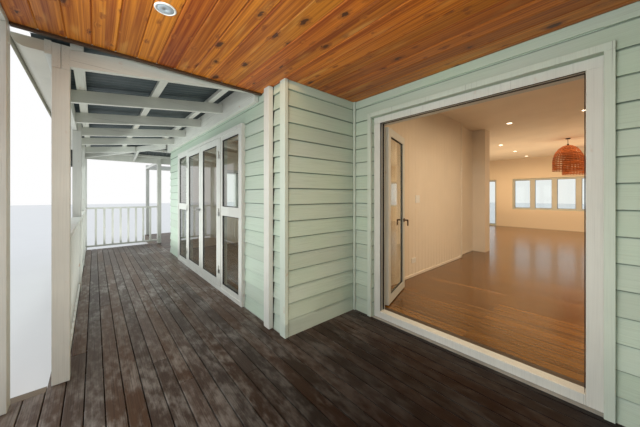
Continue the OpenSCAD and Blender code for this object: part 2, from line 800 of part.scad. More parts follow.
// Boards that cover the joint of the entry frame and the weatherboards
module entry_facings() color(sage) translate([0, y_entry - facing_t - seat_gap, deck_top]) {
    w = entry_w / 2;
    both() translate([-w - facing_w, 0, 0]) cube([facing_w, facing_t, entry_h - seat_gap]);
    translate([-w - facing_w, 0, entry_h]) cube([2 * (w + facing_w), facing_t, facing_w]);
}

module entry_threshold() color("#6b4a35")
    box(-entry_w / 2 + jamb_back + seat_gap, entry_w / 2 - jamb_back - seat_gap,
        entry_y + entry_lip + seat_gap, y_entry + wall_t - seat_gap, deck_top, floor_top + 2);

// Doors are drawn in a hinge frame: the pin is the Z axis and the closed door runs along +X, with its
// hinged face pin_out away on the -Y side. In each pair of knuckles the lower one belongs to the frame.
function hinge_heights(h) = [hinge_inset, h / 2 - knuckle_h, h - hinge_inset - 2 * knuckle_h];

module hinge_half(edge, plate) {
    cylinder(h = knuckle_h - seat_gap, r = knuckle_r, $fn = 24);
    translate([min(edge, edge + plate), -pin_out, 0]) cube([abs(plate), plate_t, knuckle_h - seat_gap]);
}

module hinge_frame_side(h, edge) {
    for (z = hinge_heights(h)) translate([0, 0, z]) hinge_half(edge, -plate_w);
}

module door_leaf(w, h, t, edge) {
    translate([edge, -pin_out - t, 0]) ring(w, h, t, stile, stile, stile);
    for (z = hinge_heights(h)) translate([0, 0, z + knuckle_h]) hinge_half(min(edge, 4.5), plate_w);
}

module door_pane(w, h, t, edge) {
    translate([edge + stile, -pin_out - (t + glass_t) / 2, stile])
        cube([w - 2 * stile, glass_t, h - 2 * stile]);
}

// Lever handle on a door face at y = 0 that stands out to -Y. Its grip turns from +Z by an angle.
module lever(turn, length) {
    rotate([90, 0, 0]) {
        cylinder(h = rose_t, r = rose_r);
        cylinder(h = handle_out, r = grip_r);
    }
    translate([0, -handle_out, 0]) rotate([0, turn, 0]) {
        cylinder(h = length, r = grip_r);
        sphere(r = grip_r);
        translate([0, 0, length]) sphere(r = grip_r);
    }
}

module door_handles(w, t, edge, z, turn, length) {
    translate([edge + w - stile / 2, -pin_out - t, z]) lever(turn, length);
    translate([edge + w - stile / 2, -pin_out, z]) mirror([0, 1, 0]) lever(turn, length);
}

// Hinge frames: the entry doors open inward by an angle, the verandah doors outward
module entry_pin(hand, angle) {
    mirror([hand, 0, 0]) translate([-entry_pin_x, entry_pin_y, leaf_bottom]) rotate(angle) children();
}

module unit_pin(s, hand) {
    x = pair_clear / 2 - door_clear / 2;
    translate([s * unit_x + (hand > 0 ? x : -x), unit_y - pin_out, unit_leaf_z])
        mirror([hand > 0 ? 1 : 0, 0, 0]) mirror([0, 1, 0]) children();
}

module entry_leaf(hand, w) {
    entry_pin(hand, entry_open) door_leaf(w, entry_leaf_h, entry_leaf_t, entry_pin_x - entry_edge);
}

module entry_pane(hand, w) {
    entry_pin(hand, entry_open) door_pane(w, entry_leaf_h, entry_leaf_t, entry_pin_x - entry_edge);
}

module unit_leaf(s, hand) unit_pin(s, hand) door_leaf(leaf_w, unit_leaf_h, leaf_t, door_clear / 2);
module unit_pane(s, hand) unit_pin(s, hand) door_pane(leaf_w, unit_leaf_h, leaf_t, door_clear / 2);

module unit_handles(s, hand) unit_pin(s, hand)
    door_handles(leaf_w, leaf_t, door_clear / 2, deck_top + unit_handle_z - unit_leaf_z, -90, grip_l);

// Hinge halves on the frames, and the handles of the fixed pair
module door_hinges() color("#c9c8c0") {
    unit_handles(1, 1);
    for (hand = [0, 1]) entry_pin(hand, 0) hinge_frame_side(entry_leaf_h, 3);
    for (s = [-1, 1], hand = [-1, 1]) unit_pin(s, hand) hinge_frame_side(unit_leaf_h, -door_clear / 2);
}

module entry_door_left() color(white) entry_leaf(0, entry_leaf_w);
module entry_glass_left() color("#9fb4b8") entry_pane(0, entry_leaf_w);
module entry_handle_left() color("#5d4026") entry_pin(0, entry_open)
    door_handles(entry_leaf_w, entry_leaf_t, entry_pin_x - entry_edge,
        deck_top + entry_handle_z - leaf_bottom, 180, entry_grip_l);
module entry_door_right() color(white) entry_leaf(1, wide_leaf_w);
module entry_glass_right() color("#9fb4b8") entry_pane(1, wide_leaf_w);
module verandah_door_inner() color(white) unit_leaf(-1, 1);
module verandah_glass_inner() color("#7f9196") unit_pane(-1, 1);
module verandah_door_outer() color(white) unit_leaf(-1, -1);
module verandah_glass_outer() color("#7f9196") unit_pane(-1, -1);
module verandah_handle_outer() color("#c9c8c0") unit_handles(-1, -1);

// Verandah door sets: two side lights beside a pair of doors that open outward
module verandah_frames() color(white) both() translate([-unit_x, unit_y, deck_top]) {
    w = unit_w / 2;
    stop_y = leaf_t + 2 * door_clear;
    inner = w - unit_member - seat_gap;
    low = sill_unit + seat_gap;
    high = unit_h - unit_member - seat_gap;
    for (s = [-1, 1]) {
        translate([s * (w - unit_member / 2) - unit_member / 2, 0, 0]) cube([unit_member, unit_d, unit_h]);
        translate([s * pair_w / 2 - mullion / 2, 0, low]) cube([mullion, unit_d, high - low]);
        translate([s * (pair_clear / 2 - door_stop / 2 - seat_gap) - door_stop / 2, stop_y, low])
            cube([door_stop, unit_d - stop_y, high - low]);
    }
    box(-inner, inner, 0, unit_d, unit_h - unit_member, unit_h);
    box(-inner, inner, 0, unit_d, 0, sill_unit);
}

light_w = (unit_w - pair_w - mullion) / 2 - unit_member;
light_h = unit_h - unit_member - sill_unit;

module side_light() {
    rail_z = mid_rail_z - sill_unit - mid_rail_h / 2;
    ring(light_w, light_h, leaf_t, sash, sash, sash);
    translate([sash - eps, 0, rail_z]) cube([light_w - 2 * sash + 2 * eps, leaf_t, mid_rail_h]);
}

module side_light_glass() {
    rail_z = mid_rail_z - sill_unit - mid_rail_h / 2;
    for (z = [[sash, rail_z], [rail_z + mid_rail_h, light_h - sash]])
        translate([sash, (leaf_t - glass_t) / 2, z[0]]) cube([light_w - 2 * sash, glass_t, z[1] - z[0]]);
}

module light_place(s) {
    translate([s * unit_x - unit_w / 2 + unit_member, unit_y + 8, deck_top + sill_unit]) children();
    translate([s * unit_x + unit_w / 2 - unit_member - light_w, unit_y + 8, deck_top + sill_unit]) children();
}

module fixed_sashes() color(white) {
    for (s = [-1, 1]) light_place(s) side_light();
    for (hand = [-1, 1]) unit_leaf(1, hand);
}

// Windows of the side and back walls, drawn from one frame module along X with the outside at y = 0
module window_frame(w, h, panes, pane_w) {
    step = panes > 1 ? (w - 2 * window_member - pane_w) / (panes - 1) : 0;
    difference() {
        cube([w, window_d, h]);
        for (i = [0:panes - 1])
            translate([window_member + i * step, -eps, window_member])
                cube([pane_w, window_d + 2 * eps, h - 2 * window_member]);
    }
}

module window_panes(w, h, panes, pane_w) {
    step = panes > 1 ? (w - 2 * window_member - pane_w) / (panes - 1) : 0;
    for (i = [0:panes - 1])
        translate([window_member + i * step, (window_d - glass_t) / 2, window_member])
            cube([pane_w, glass_t, h - 2 * window_member]);
}

module window_places(part) {
    inset = 30;
    sill = deck_top + window_sill;
    both() for (i = [0:side_windows - 1])
        translate([-x_out + inset, side_window_y(i) + window_w / 2, sill]) rotate(-90)
            if (part == 0) window_frame(window_w, window_h, 2, (window_w - 3 * window_member) / 2);
            else window_panes(window_w, window_h, 2, (window_w - 3 * window_member) / 2);
    translate([back_row_w / 2, y_back - inset, sill]) rotate(180)
        if (part == 0) window_frame(back_row_w, window_h, back_panes, back_pane_w);
        else window_panes(back_row_w, window_h, back_panes, back_pane_w);
    both() translate([-back_unit_x, y_back - inset, floor_top]) rotate(180)
        if (part == 0) window_frame(back_unit_w, back_unit_h, 2, (back_unit_w - 3 * window_member) / 2);
        else window_panes(back_unit_w, back_unit_h, 2, (back_unit_w - 3 * window_member) / 2);
}

module window_frames() color(white) window_places(0);

module house_glass() color("#7f9196") {
    window_places(1);
    for (s = [-1, 1]) light_place(s) side_light_glass();
    for (hand = [-1, 1]) unit_pane(1, hand);
}

// Main roof: four hipped planes, each cut to a level seat on the wall under it
main_slope = tan(main_pitch);
eave_z = wall_top - roof_seat - main_eave * main_slope;
eave_x = x_out + main_eave;
eave_y = house_d / 2 + main_eave;
ridge_x = eave_x - eave_y;
ridge_z = eave_z + eave_y * main_slope;

// Plane over a plan outline, rising from the eave at y = -edge
module roof_plane(edge, plan) {
    intersection() {
        translate([-2 * eave_x, 0, 0]) rotate([90, 0, 90]) linear_extrude(4 * eave_x)
            polygon([[-edge, eave_z], [-edge + main_eave, wall_top - roof_seat], [-edge + main_eave, wall_top],
                [-edge + main_eave + roof_seat / main_slope, wall_top], [0, eave_z + edge * main_slope],
                [0, eave_z + edge * main_slope + main_roof_t], [-edge, eave_z + main_roof_t]]);
        linear_extrude(3 * wall_top) polygon(plan);
    }
}

module main_roof() color(iron) {
    g = hip_clear;
    for (a = [0, 180]) rotate(a)
        roof_plane(eave_y, [[-eave_x + g, -eave_y], [eave_x - g, -eave_y], [ridge_x, -g], [-ridge_x, -g]]);
    for (a = [90, -90]) rotate(a) translate([0, ridge_x > 0 ? -ridge_x : 0, 0])
        roof_plane(eave_y, [[-eave_y + g, -eave_y], [eave_y - g, -eave_y], [0, -g]]);
}

module eave_gutters() {
    z = eave_z + main_roof_t - gutter_h - 30;
    reach_x = eave_x + gutter_w;
    reach_y = eave_y + gutter_w;
    g = hip_clear;
    for (a = [0, 180]) rotate(a) intersection() {
        gutter_run(-reach_x, reach_x, eave_y, z);
        linear_extrude(2 * wall_top) polygon([[-reach_x + g, -reach_y], [reach_x - g, -reach_y],
            [eave_x - g, -eave_y], [-eave_x + g, -eave_y]]);
    }
    for (a = [90, -90]) rotate(a) intersection() {
        gutter_run(-reach_y, reach_y, eave_x, z);
        linear_extrude(2 * wall_top) polygon([[-reach_y + g, -reach_x], [reach_y - g, -reach_x],
            [eave_y - g, -eave_x], [-eave_y + g, -eave_x]]);
    }
}

module gutters() color("#dcdfdc") {
    both() for (side = [0, 1]) run_frame(side) lean_gutter(side);
    eave_gutters();
}

// Half-round caps over the main ridge and hips
cap_t = 5;

module cap_between(a, b, r) {
    d = b - a;
    plan = norm([d[0], d[1]]);
    translate(a) rotate([0, 0, atan2(d[1], d[0])]) rotate([0, -atan2(d[2], plan), 0])
        rotate([90, 0, 90]) linear_extrude(norm(d)) difference() {
            circle(r = r, $fn = 24);
            circle(r = r - cap_t, $fn = 24);
            translate([-2 * r, -2 * r]) square([4 * r, 2 * r]);
        }
}

module roof_caps() color(iron) {
    top = main_roof_t + seat_gap - (cap_r - cap_t) * main_slope / sqrt(2);
    end = 1.5 * cap_r;
    fall = end * main_slope;
    for (s = [-1, 1], t = [-1, 1])
        cap_between([s * eave_x, t * eave_y, eave_z + top],
            [s * (ridge_x + end), t * end, ridge_z - fall + top], cap_r);
    ridge_top = ridge_z + main_roof_t + seat_gap - (cap_r - cap_t) * main_slope;
    cap_between([-ridge_x - end, 0, ridge_top], [ridge_x + end, 0, ridge_top], cap_r);
}

// Round ceiling lights of the porch, the hall and the main room, and two dome lamps over the main room
lamp_cord_r = 5;
lamp_rose_r = 50;
lamp_rose_t = 20;

module ceiling_lights() color("#f7f6f0") {
    both() translate([-light_x, y_porch + light_y, porch_z - light_t - seat_gap])
        cylinder(h = light_t, r = light_r);
    z = floor_top + room_h - light_t - seat_gap;
    for (s = [-1, 1]) translate([s * light_step / 2, y_entry + nib_y - hall_light_set, z])
        cylinder(h = light_t, r = light_r);
    for (i = [0:2]) translate([-room_light_x, y_back - room_light_back - i * room_light_step, z])
        cylinder(h = light_t, r = light_r);
}

// Half section of a dome: straight sides, then a quarter ellipse up to the crown
module dome_section(r, h) {
    polygon([[0, 0], [r, 0], for (a = [0:9:90]) [r * cos(a), lamp_side + (h - lamp_side) * sin(a)]]);
}

module pendant_lamps() color("#a5482a") for (i = [0:1])
    translate([lamp_x, y_back - lamp_back - i * lamp_step, 0]) {
        rim = floor_top + room_h - lamp_drop;
        top = floor_top + room_h - seat_gap;
        translate([0, 0, rim]) rotate_extrude() difference() {
            dome_section(lamp_r, lamp_h);
            translate([0, -eps]) dome_section(lamp_r - lamp_t, lamp_h - lamp_t + eps);
        }
        translate([0, 0, rim + lamp_h - lamp_t]) cylinder(h = top - rim - lamp_h + lamp_t, r = lamp_cord_r);
        translate([0, 0, top - lamp_rose_t]) cylinder(h = lamp_rose_t, r = lamp_rose_r);
    }

// Light on the outer face of the second post, with a hood that leans out over its lower edge
module post_light() color("#1b1c1e")
    translate([-front_posts[1] - post_light_w / 2, y_post - seat_gap, deck_top + post_light_z])
        rotate([90, 0, 90]) linear_extrude(post_light_w)
            polygon([[0, 0], [-0.78 * post_light_d, 0], [-post_light_d, 0.42 * post_light_h],
                [-0.9 * post_light_d, post_light_h], [0, post_light_h]]);

// Porch roof: two planes that run back into the main roof, over a boarded gable
porch_slope = main_slope;
porch_roof_t = 110;
porch_edge = porch_half + porch_eave;
porch_ridge_z = porch_roof_z + porch_half * porch_slope;
porch_back = y_front - main_eave + (porch_ridge_z + porch_roof_t - eave_z - main_roof_t) / main_slope + 60;

module main_envelope() {
    translate([-x_out, 0, 0]) rotate([90, 0, 90]) linear_extrude(house_w)
        polygon([[-eave_y - gutter_w - 10, 0], [-eave_y - gutter_w - 10, eave_z + main_roof_t],
            [-eave_y, eave_z + main_roof_t + 2],
            [0, eave_z + eave_y * main_slope + main_roof_t + 2], [0, 0]]);
}

module porch_roof() color(iron) both() difference() {
    translate([0, porch_back, 0]) rotate([90, 0, 0]) linear_extrude(porch_back - y_porch + porch_verge)
        polygon([[-porch_edge, porch_roof_z - porch_eave * porch_slope], [-joint_gap, porch_ridge_z],
            [-joint_gap, porch_ridge_z + porch_roof_t],
            [-porch_edge, porch_roof_z - porch_eave * porch_slope + porch_roof_t]]);
    main_envelope();
}

module porch_gable() color(sage)
    translate([0, y_porch + post - joint_gap, 0]) rotate([90, 0, 0]) linear_extrude(post - joint_gap)
        polygon([[-porch_half, porch_roof_z], [porch_half, porch_roof_z], [0, porch_ridge_z]]);

house_slab();
room_floor();
porch_deck();
verandah_decks();
deck_joists();
entry_wall_piers();
return_walls();
front_wall_piers();
door_heads();
side_walls();
back_wall();
hall_walls();
room_ceiling();
porch_ceiling();
porch_beams();
porch_posts();
verandah_posts();
verandah_beams();
verandah_rafters();
verandah_purlins();
verandah_roof();
ledgers();
verandah_fascias();
gutters();
railings();
pergola_frames();
corner_boards();
entry_frame();
entry_facings();
entry_threshold();
door_hinges();
verandah_frames();
fixed_sashes();
window_frames();
house_glass();
main_roof();
roof_caps();
porch_roof();
porch_gable();
ceiling_trims();
ceiling_lights();
pendant_lamps();
post_light();
entry_door_left();
entry_glass_left();
entry_handle_left();
entry_door_right();
entry_glass_right();
verandah_door_inner();
verandah_glass_inner();
verandah_door_outer();
verandah_glass_outer();
verandah_handle_outer();
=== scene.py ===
"""Looks of a weatherboard beach house, dressed over its fixed frame of timber, sheet and glass.

All lengths are metres in the frame of the model: X runs along the front, the front faces -Y and the ground
is at z = 0. Sizes written as `4 * MM` are millimetres.
"""

from __future__ import annotations

import json
import logging
import math
import random
from collections.abc import Callable, Iterable, Sequence
from dataclasses import dataclass, field
from enum import Enum
from functools import partial

import bmesh
import bpy
from mathutils import Matrix, Vector

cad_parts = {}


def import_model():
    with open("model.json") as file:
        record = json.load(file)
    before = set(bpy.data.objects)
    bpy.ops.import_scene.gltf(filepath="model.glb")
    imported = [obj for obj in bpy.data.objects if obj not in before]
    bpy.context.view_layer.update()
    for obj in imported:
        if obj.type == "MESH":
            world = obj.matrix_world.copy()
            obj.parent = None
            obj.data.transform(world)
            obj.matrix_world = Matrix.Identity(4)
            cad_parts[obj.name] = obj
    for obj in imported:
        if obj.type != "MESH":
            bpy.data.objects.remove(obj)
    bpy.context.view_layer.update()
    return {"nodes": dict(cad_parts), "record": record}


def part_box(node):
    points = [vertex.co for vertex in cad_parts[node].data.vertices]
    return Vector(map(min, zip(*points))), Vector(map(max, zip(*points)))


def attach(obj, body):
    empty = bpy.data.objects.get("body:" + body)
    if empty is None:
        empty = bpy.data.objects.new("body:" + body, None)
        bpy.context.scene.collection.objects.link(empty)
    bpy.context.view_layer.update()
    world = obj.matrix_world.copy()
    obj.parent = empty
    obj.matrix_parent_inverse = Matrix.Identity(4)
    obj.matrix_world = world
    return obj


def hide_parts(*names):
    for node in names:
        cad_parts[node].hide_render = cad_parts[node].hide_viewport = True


LOG = logging.getLogger("beach_house")
MM = 0.001
HOUSE = "house"
BOARD = "board"
WHITE = "#d2d3ca"
DOOR_WHITE = "#cfd0c8"
CREAM = "#ebdcc6"
SAGE = "#b5c3b3"

Colour = tuple[float, float, float, float]
Outline = Sequence[tuple[float, float]]
Nodes = dict[str, bpy.types.Object]
Adder = Callable[..., bpy.types.NodeSocket]
# Settings that come up again: a range with soft ends, and a mix of two colours
SOFT = {"interpolation_type": "SMOOTHSTEP"}
BLEND = {"out": 2, "data_type": "RGBA"}


class Axis(Enum):
    """Direction in which a board, bar or sheet runs."""

    X = 0
    Y = 1
    Z = 2


def linear(sheet_colour: str, share: float = 1.0) -> Colour:
    """Turns an sRGB hex colour into linear values.

    Args:
        sheet_colour: colour such as "#c8d4c4".
        share: factor on the light that it gives back.

    Returns:
        Linear red, green, blue and an alpha of 1.
    """
    channels = [int(sheet_colour[i : i + 2], 16) / 255 for i in (1, 3, 5)]
    levels = [c / 12.92 if c <= 0.04045 else ((c + 0.055) / 1.055) ** 2.4 for c in channels]
    red, green, blue = (share * level for level in levels)
    return red, green, blue, 1.0


def join(node: bpy.types.Node, inputs: dict | Sequence) -> None:
    """Sets each input of a node to its value, or links it to its socket.

    Args:
        node: node that takes them.
        inputs: values or output sockets, by name or in the order of the inputs.
    """
    for key, value in inputs.items() if isinstance(inputs, dict) else enumerate(inputs):
        if isinstance(value, bpy.types.NodeSocket):
            node.id_data.links.new(value, node.inputs[key])
        else:
            node.inputs[key].default_value = value


def add_node(
    tree: bpy.types.NodeTree, kind: str, inputs: dict | Sequence = (), out: int | str = 0, **settings: object
) -> bpy.types.NodeSocket:
    """Adds one node with its settings and links.

    Args:
        tree: node tree that takes the node.
        kind: Blender's name of the node, without its ShaderNode in front.
        inputs: values or output sockets, by name or in the order of the inputs.
        out: name or number of the output to return.
        settings: properties of the node.

    Returns:
        The chosen output socket.
    """
    node = tree.nodes.new("ShaderNode" + kind)
    for name, value in settings.items():
        setattr(node, name, value)
    join(node, inputs)
    return node.outputs[out]


def fibre(add: Adder, cell: Sequence[float], away: object = 0.0, detail: float = 4.0) -> bpy.types.NodeSocket:
    """Draws a noise pattern stretched over cells, such as wood fibre, brush marks or clouds.

    Args:
        add: adds nodes to the material.
        cell: size of one cell along X, Y and Z.
        away: number that moves the pattern, so that boards don't share it.
        detail: number of finer layers.

    Returns:
        The strength of the pattern, from 0 to 1.
    """
    spot = add("TexCoord", out="Object")
    shift = add("CombineXYZ", (away, away, away))
    moved = add("VectorMath", (spot, tuple(1 / c for c in cell), shift), operation="MULTIPLY_ADD")
    return add("TexNoise", {"Vector": moved, "Scale": 1.0, "Detail": detail, "Roughness": 0.58})


def cell_along(axis: Axis, length: float, width: float) -> tuple[float, ...]:
    """Returns the size of a cell of a given length along an axis and width across it."""
    return tuple(length if i == axis.value else width for i in range(3))


@dataclass(frozen=True)
class Finish:
    """A surface finish, made into one material when it is first used."""

    name: str

    def material(self) -> bpy.types.Material:
        """Makes the material of this finish when it is first asked for.

        Returns:
            The material.
        """
        found = bpy.data.materials.get(self.name)
        if found:
            return found
        made = bpy.data.materials.new(self.name)
        made.use_nodes = True
        self.dress(partial(add_node, made.node_tree), made.node_tree.nodes["Principled BSDF"])
        return made

    def dress(self, add: Adder, shader: bpy.types.Node) -> None:
        """Links the nodes of this finish to its shader."""
        raise NotImplementedError

    def surface(
        self, add: Adder, shader: bpy.types.Node, tones: dict, sheen: Sequence, relief: float,
        extra: dict | None = None
    ) -> None:
        """Joins the last mix of colours to the shader, with a grit that breaks up the sheen.

        Args:
            add: adds nodes to the material.
            shader: shader that takes them.
            tones: share and the two colours of the mix, by input.
            sheen: pattern of the grit, its lowest and highest value, and the roughness at each.
            relief: height of the grit.
            extra: other inputs of the shader.
        """
        join(shader, {
            "Base Color": add("Mix", tones, **BLEND),
            "Roughness": add("MapRange", sheen),
            "Normal": add("Bump", {"Height": sheen[0], "Distance": relief}),
            **(extra or {}),
        })


@dataclass(frozen=True)
class BrushedEnamel(Finish):
    """Primed pine brushed with acrylic enamel: satin, with brush marks, checks and faint knot stains."""

    colour: str
    axis: Axis = Axis.Z
    mark: float = 5 * MM
    roughness: float = 0.45

    def dress(self, add: Adder, shader: bpy.types.Node) -> None:
        """Brush marks are 5 mm wide, checks 7 mm (drawn coarser), and knots bleed in spots of 30 mm.

        Args:
            add: adds nodes to the material.
            shader: shader that takes the finish.
        """
        marks = fibre(add, cell_along(self.axis, 0.3, self.mark))
        clouds = fibre(add, (0.5, 0.5, 0.5), detail=3.0)
        shade = add("MapRange", (clouds, 0.3, 0.75, 0.0, 0.75), **SOFT)
        tone = add("Mix", {0: shade, 6: linear(self.colour), 7: linear(self.colour, 0.86)}, **BLEND)
        knots = fibre(add, cell_along(self.axis, 0.13, 0.07), 7.0, 2.0)
        bleed = add("MapRange", (knots, 0.68, 0.8, 0.0, 0.6), **SOFT)
        stained = add("Mix", {0: bleed, 6: tone, 7: linear("#b98a6c")}, **BLEND)
        streak = add("MapRange", (marks, 0.4, 0.8, 0.0, 0.5), **SOFT)
        brushed = add("Mix", {0: streak, 6: stained, 7: linear(self.colour, 0.76)}, **BLEND)
        checks = fibre(add, cell_along(self.axis, 0.9, 7 * MM), 3.0, 1.0)
        split = add("MapRange", (checks, 0.7, 0.76, 0.0, 0.5))
        tones = {0: split, 6: brushed, 7: linear("#4c4a44")}
        sheen = (marks, 0.2, 0.8, self.roughness - 0.08, self.roughness + 0.12)
        self.surface(add, shader, tones, sheen, 0.5 * MM, {"IOR": 1.48})


@dataclass(frozen=True)
class LappedBoardPaint(Finish):
    """Sawn weatherboards under two coats of low-sheen acrylic: grain shows, and boards differ in tone."""

    colour: str
    lining: str
    plan: HousePlan
    cover: float = 150 * MM
    shadow: float = 6 * MM

    def dress(self, add: Adder, shader: bpy.types.Node) -> None:
        """Boards are told apart by height. The top 6 mm of each board, under the drip edge above, is
        darkened: painted shade of the lap.

        Args:
            add: adds nodes to the material.
            shader: shader that takes the finish.
        """
        spot = add("SeparateXYZ", (add("TexCoord", out="Object"),)).node.outputs
        rows = add("Math", (spot[2], -self.plan.deck_z), operation="ADD")
        rows = add("Math", (rows, 1 / self.cover), operation="MULTIPLY")
        chance = add("TexWhiteNoise", {"W": add("Math", (rows,), operation="FLOOR")}, noise_dimensions="1D")
        far = add("Math", (chance, 31.0), operation="MULTIPLY")
        grain = fibre(add, (0.35, 0.35, 6 * MM), far, 5.0)
        clouds = fibre(add, (0.9, 0.9, 0.5), far, 3.0)
        tone = add("HueSaturation", {
            "Hue": add("MapRange", (chance, 0.0, 1.0, 0.492, 0.508)),
            "Saturation": add("MapRange", (clouds, 0.3, 0.7, 0.8, 1.2)),
            "Value": add("MapRange", (chance, 0.0, 1.0, 0.93, 1.05)),
            "Color": linear(self.colour),
        })
        streak = add("MapRange", (grain, 0.45, 0.85, 0.0, 0.5), **SOFT)
        grained = add("Mix", {0: streak, 6: tone, 7: linear(self.colour, 0.66)}, **BLEND)
        place = add("Math", (rows,), operation="FRACT")
        edge = self.shadow / self.cover
        # Painted shade: the top of each board, under the drip edge of the board above, darkens towards
        # #35463b.
        painted_lap_shade = add("MapRange", (place, 1 - 2 * edge, 1 - edge, 0.0, 0.62))
        shaded = add("Mix", {0: painted_lap_shade, 6: grained, 7: linear("#35463b")}, **BLEND)
        inside = self.indoors(add, spot)
        relief = add("Math", (grain, add("Math", (1.0, inside), operation="SUBTRACT")), operation="MULTIPLY")
        join(shader, {
            "Base Color": add("Mix", {0: inside, 6: shaded, 7: linear(self.lining)}, **BLEND),
            "Roughness": add("MapRange", (grain, 0.3, 0.7, 0.48, 0.66)),
            "IOR": 1.46,
            "Normal": add("Bump", {"Height": relief, "Distance": 1.2 * MM}),
        })

    def indoors(self, add: Adder, spot: bpy.types.NodeOutputs) -> bpy.types.NodeSocket:
        """Marks the lining.

        Args:
            add: adds nodes to the material.
            spot: sockets with x, y and z on the object.

        Returns:
            A socket that is 1 on the lining inside the rooms and 0 on the boards.
        """
        edge = self.plan.wall_t - 10 * MM
        across = add("Math", (spot[0],), operation="ABSOLUTE")
        depth = add("Math", (spot[1],), operation="ABSOLUTE")
        narrow = add("Math", (across, self.plan.side_x - edge), operation="LESS_THAN")
        within = add("Math", (depth, self.plan.back_y - edge), operation="LESS_THAN")
        beside = add("Math", (across, self.plan.recess_x + edge), operation="GREATER_THAN")
        behind = add("Math", (spot[1], self.plan.entry_y + edge), operation="GREATER_THAN")
        room = add("Math", (narrow, within), operation="MULTIPLY")
        return add("Math", (room, add("Math", (beside, behind), operation="MAXIMUM")), operation="MULTIPLY")


@dataclass(frozen=True)
class OiledPine(Finish):
    """Planed pine lining boards under clear oil: golden bands, paler sapwood and small dark red knots."""

    pale: str = "#d58022"
    deep: str = "#8f410e"
    sap: str = "#e0a352"
    knot: str = "#4a220e"
    halo: str = "#7d3c17"
    cells: tuple[float, float] = (4.2, 8.0)

    def dress(self, add: Adder, shader: bpy.types.Node) -> None:
        """About nine knots to the square metre push the fine grain aside, as in sawn pine.

        The cells that may hold a knot are counted to the metre, along and across the boards.

        Args:
            add: adds nodes to the material.
            shader: shader that takes the finish.
        """
        number = add("Attribute", attribute_name=BOARD, out="Fac")
        away = add("Math", (number, 57.0), operation="MULTIPLY")
        rough = fibre(add, (0.03, 0.02, 0.02), away, 3.0)
        wobble = add("Math", (rough, 0.28), operation="MULTIPLY")
        far = add("Math", (away, wobble), operation="ADD")
        spread = add("CombineXYZ", (far, far, 0.0))
        spot = add("TexCoord", out="Object")
        seat = add("VectorMath", (spot, (*self.cells, 0.0), spread), operation="MULTIPLY_ADD")
        cells = add("TexVoronoi", {"Vector": seat, "Scale": 1.0}, voronoi_dimensions="2D").node.outputs
        chance = add("SeparateColor", (cells["Color"],))
        size = add("MapRange", (chance, 0.74, 1.0, 0.0, 0.17))
        ring = add("Math", (size, cells["Distance"]), operation="SUBTRACT")
        core = add("MapRange", (ring, -0.02, 0.04, 0.0, 0.95), **SOFT)
        glow = add("MapRange", (ring, -0.2, 0.0, 0.0, 0.5), **SOFT)
        push = add("Math", (glow, 1.1, away), operation="MULTIPLY_ADD")
        grain = fibre(add, (1.0, 11 * MM, 11 * MM), push, 5.0)
        bands = fibre(add, (1.6, 55 * MM, 55 * MM), push, 2.0)
        sapwood = fibre(add, (0.55, 0.1, 0.1), away, 2.0)
        broad = add("Math", (bands, 0.4), operation="MULTIPLY")
        figure = add("Math", (grain, 0.6, broad), operation="MULTIPLY_ADD")
        share = add("MapRange", (figure, 0.36, 0.64, 0.0, 1.0), **SOFT)
        timber = add("Mix", {0: share, 6: linear(self.pale), 7: linear(self.deep)}, **BLEND)
        paler = add("MapRange", (sapwood, 0.58, 0.74, 0.0, 0.6), **SOFT)
        mixed = add("Mix", {0: paler, 6: timber, 7: linear(self.sap)}, **BLEND)
        second = add("Math", (add("Math", (number, 7.3), operation="MULTIPLY"),), operation="FRACT")
        tone = add("HueSaturation", {
            "Hue": add("MapRange", (number, 0.0, 1.0, 0.494, 0.505)),
            "Value": add("MapRange", (second, 0.0, 1.0, 0.74, 1.12)),
            "Color": mixed,
        })
        red = add("Mix", {0: glow, 6: tone, 7: linear(self.halo)}, **BLEND)
        tones = {0: core, 6: red, 7: linear(self.knot)}
        self.surface(add, shader, tones, (grain, 0.3, 0.7, 0.36, 0.52), 0.3 * MM)


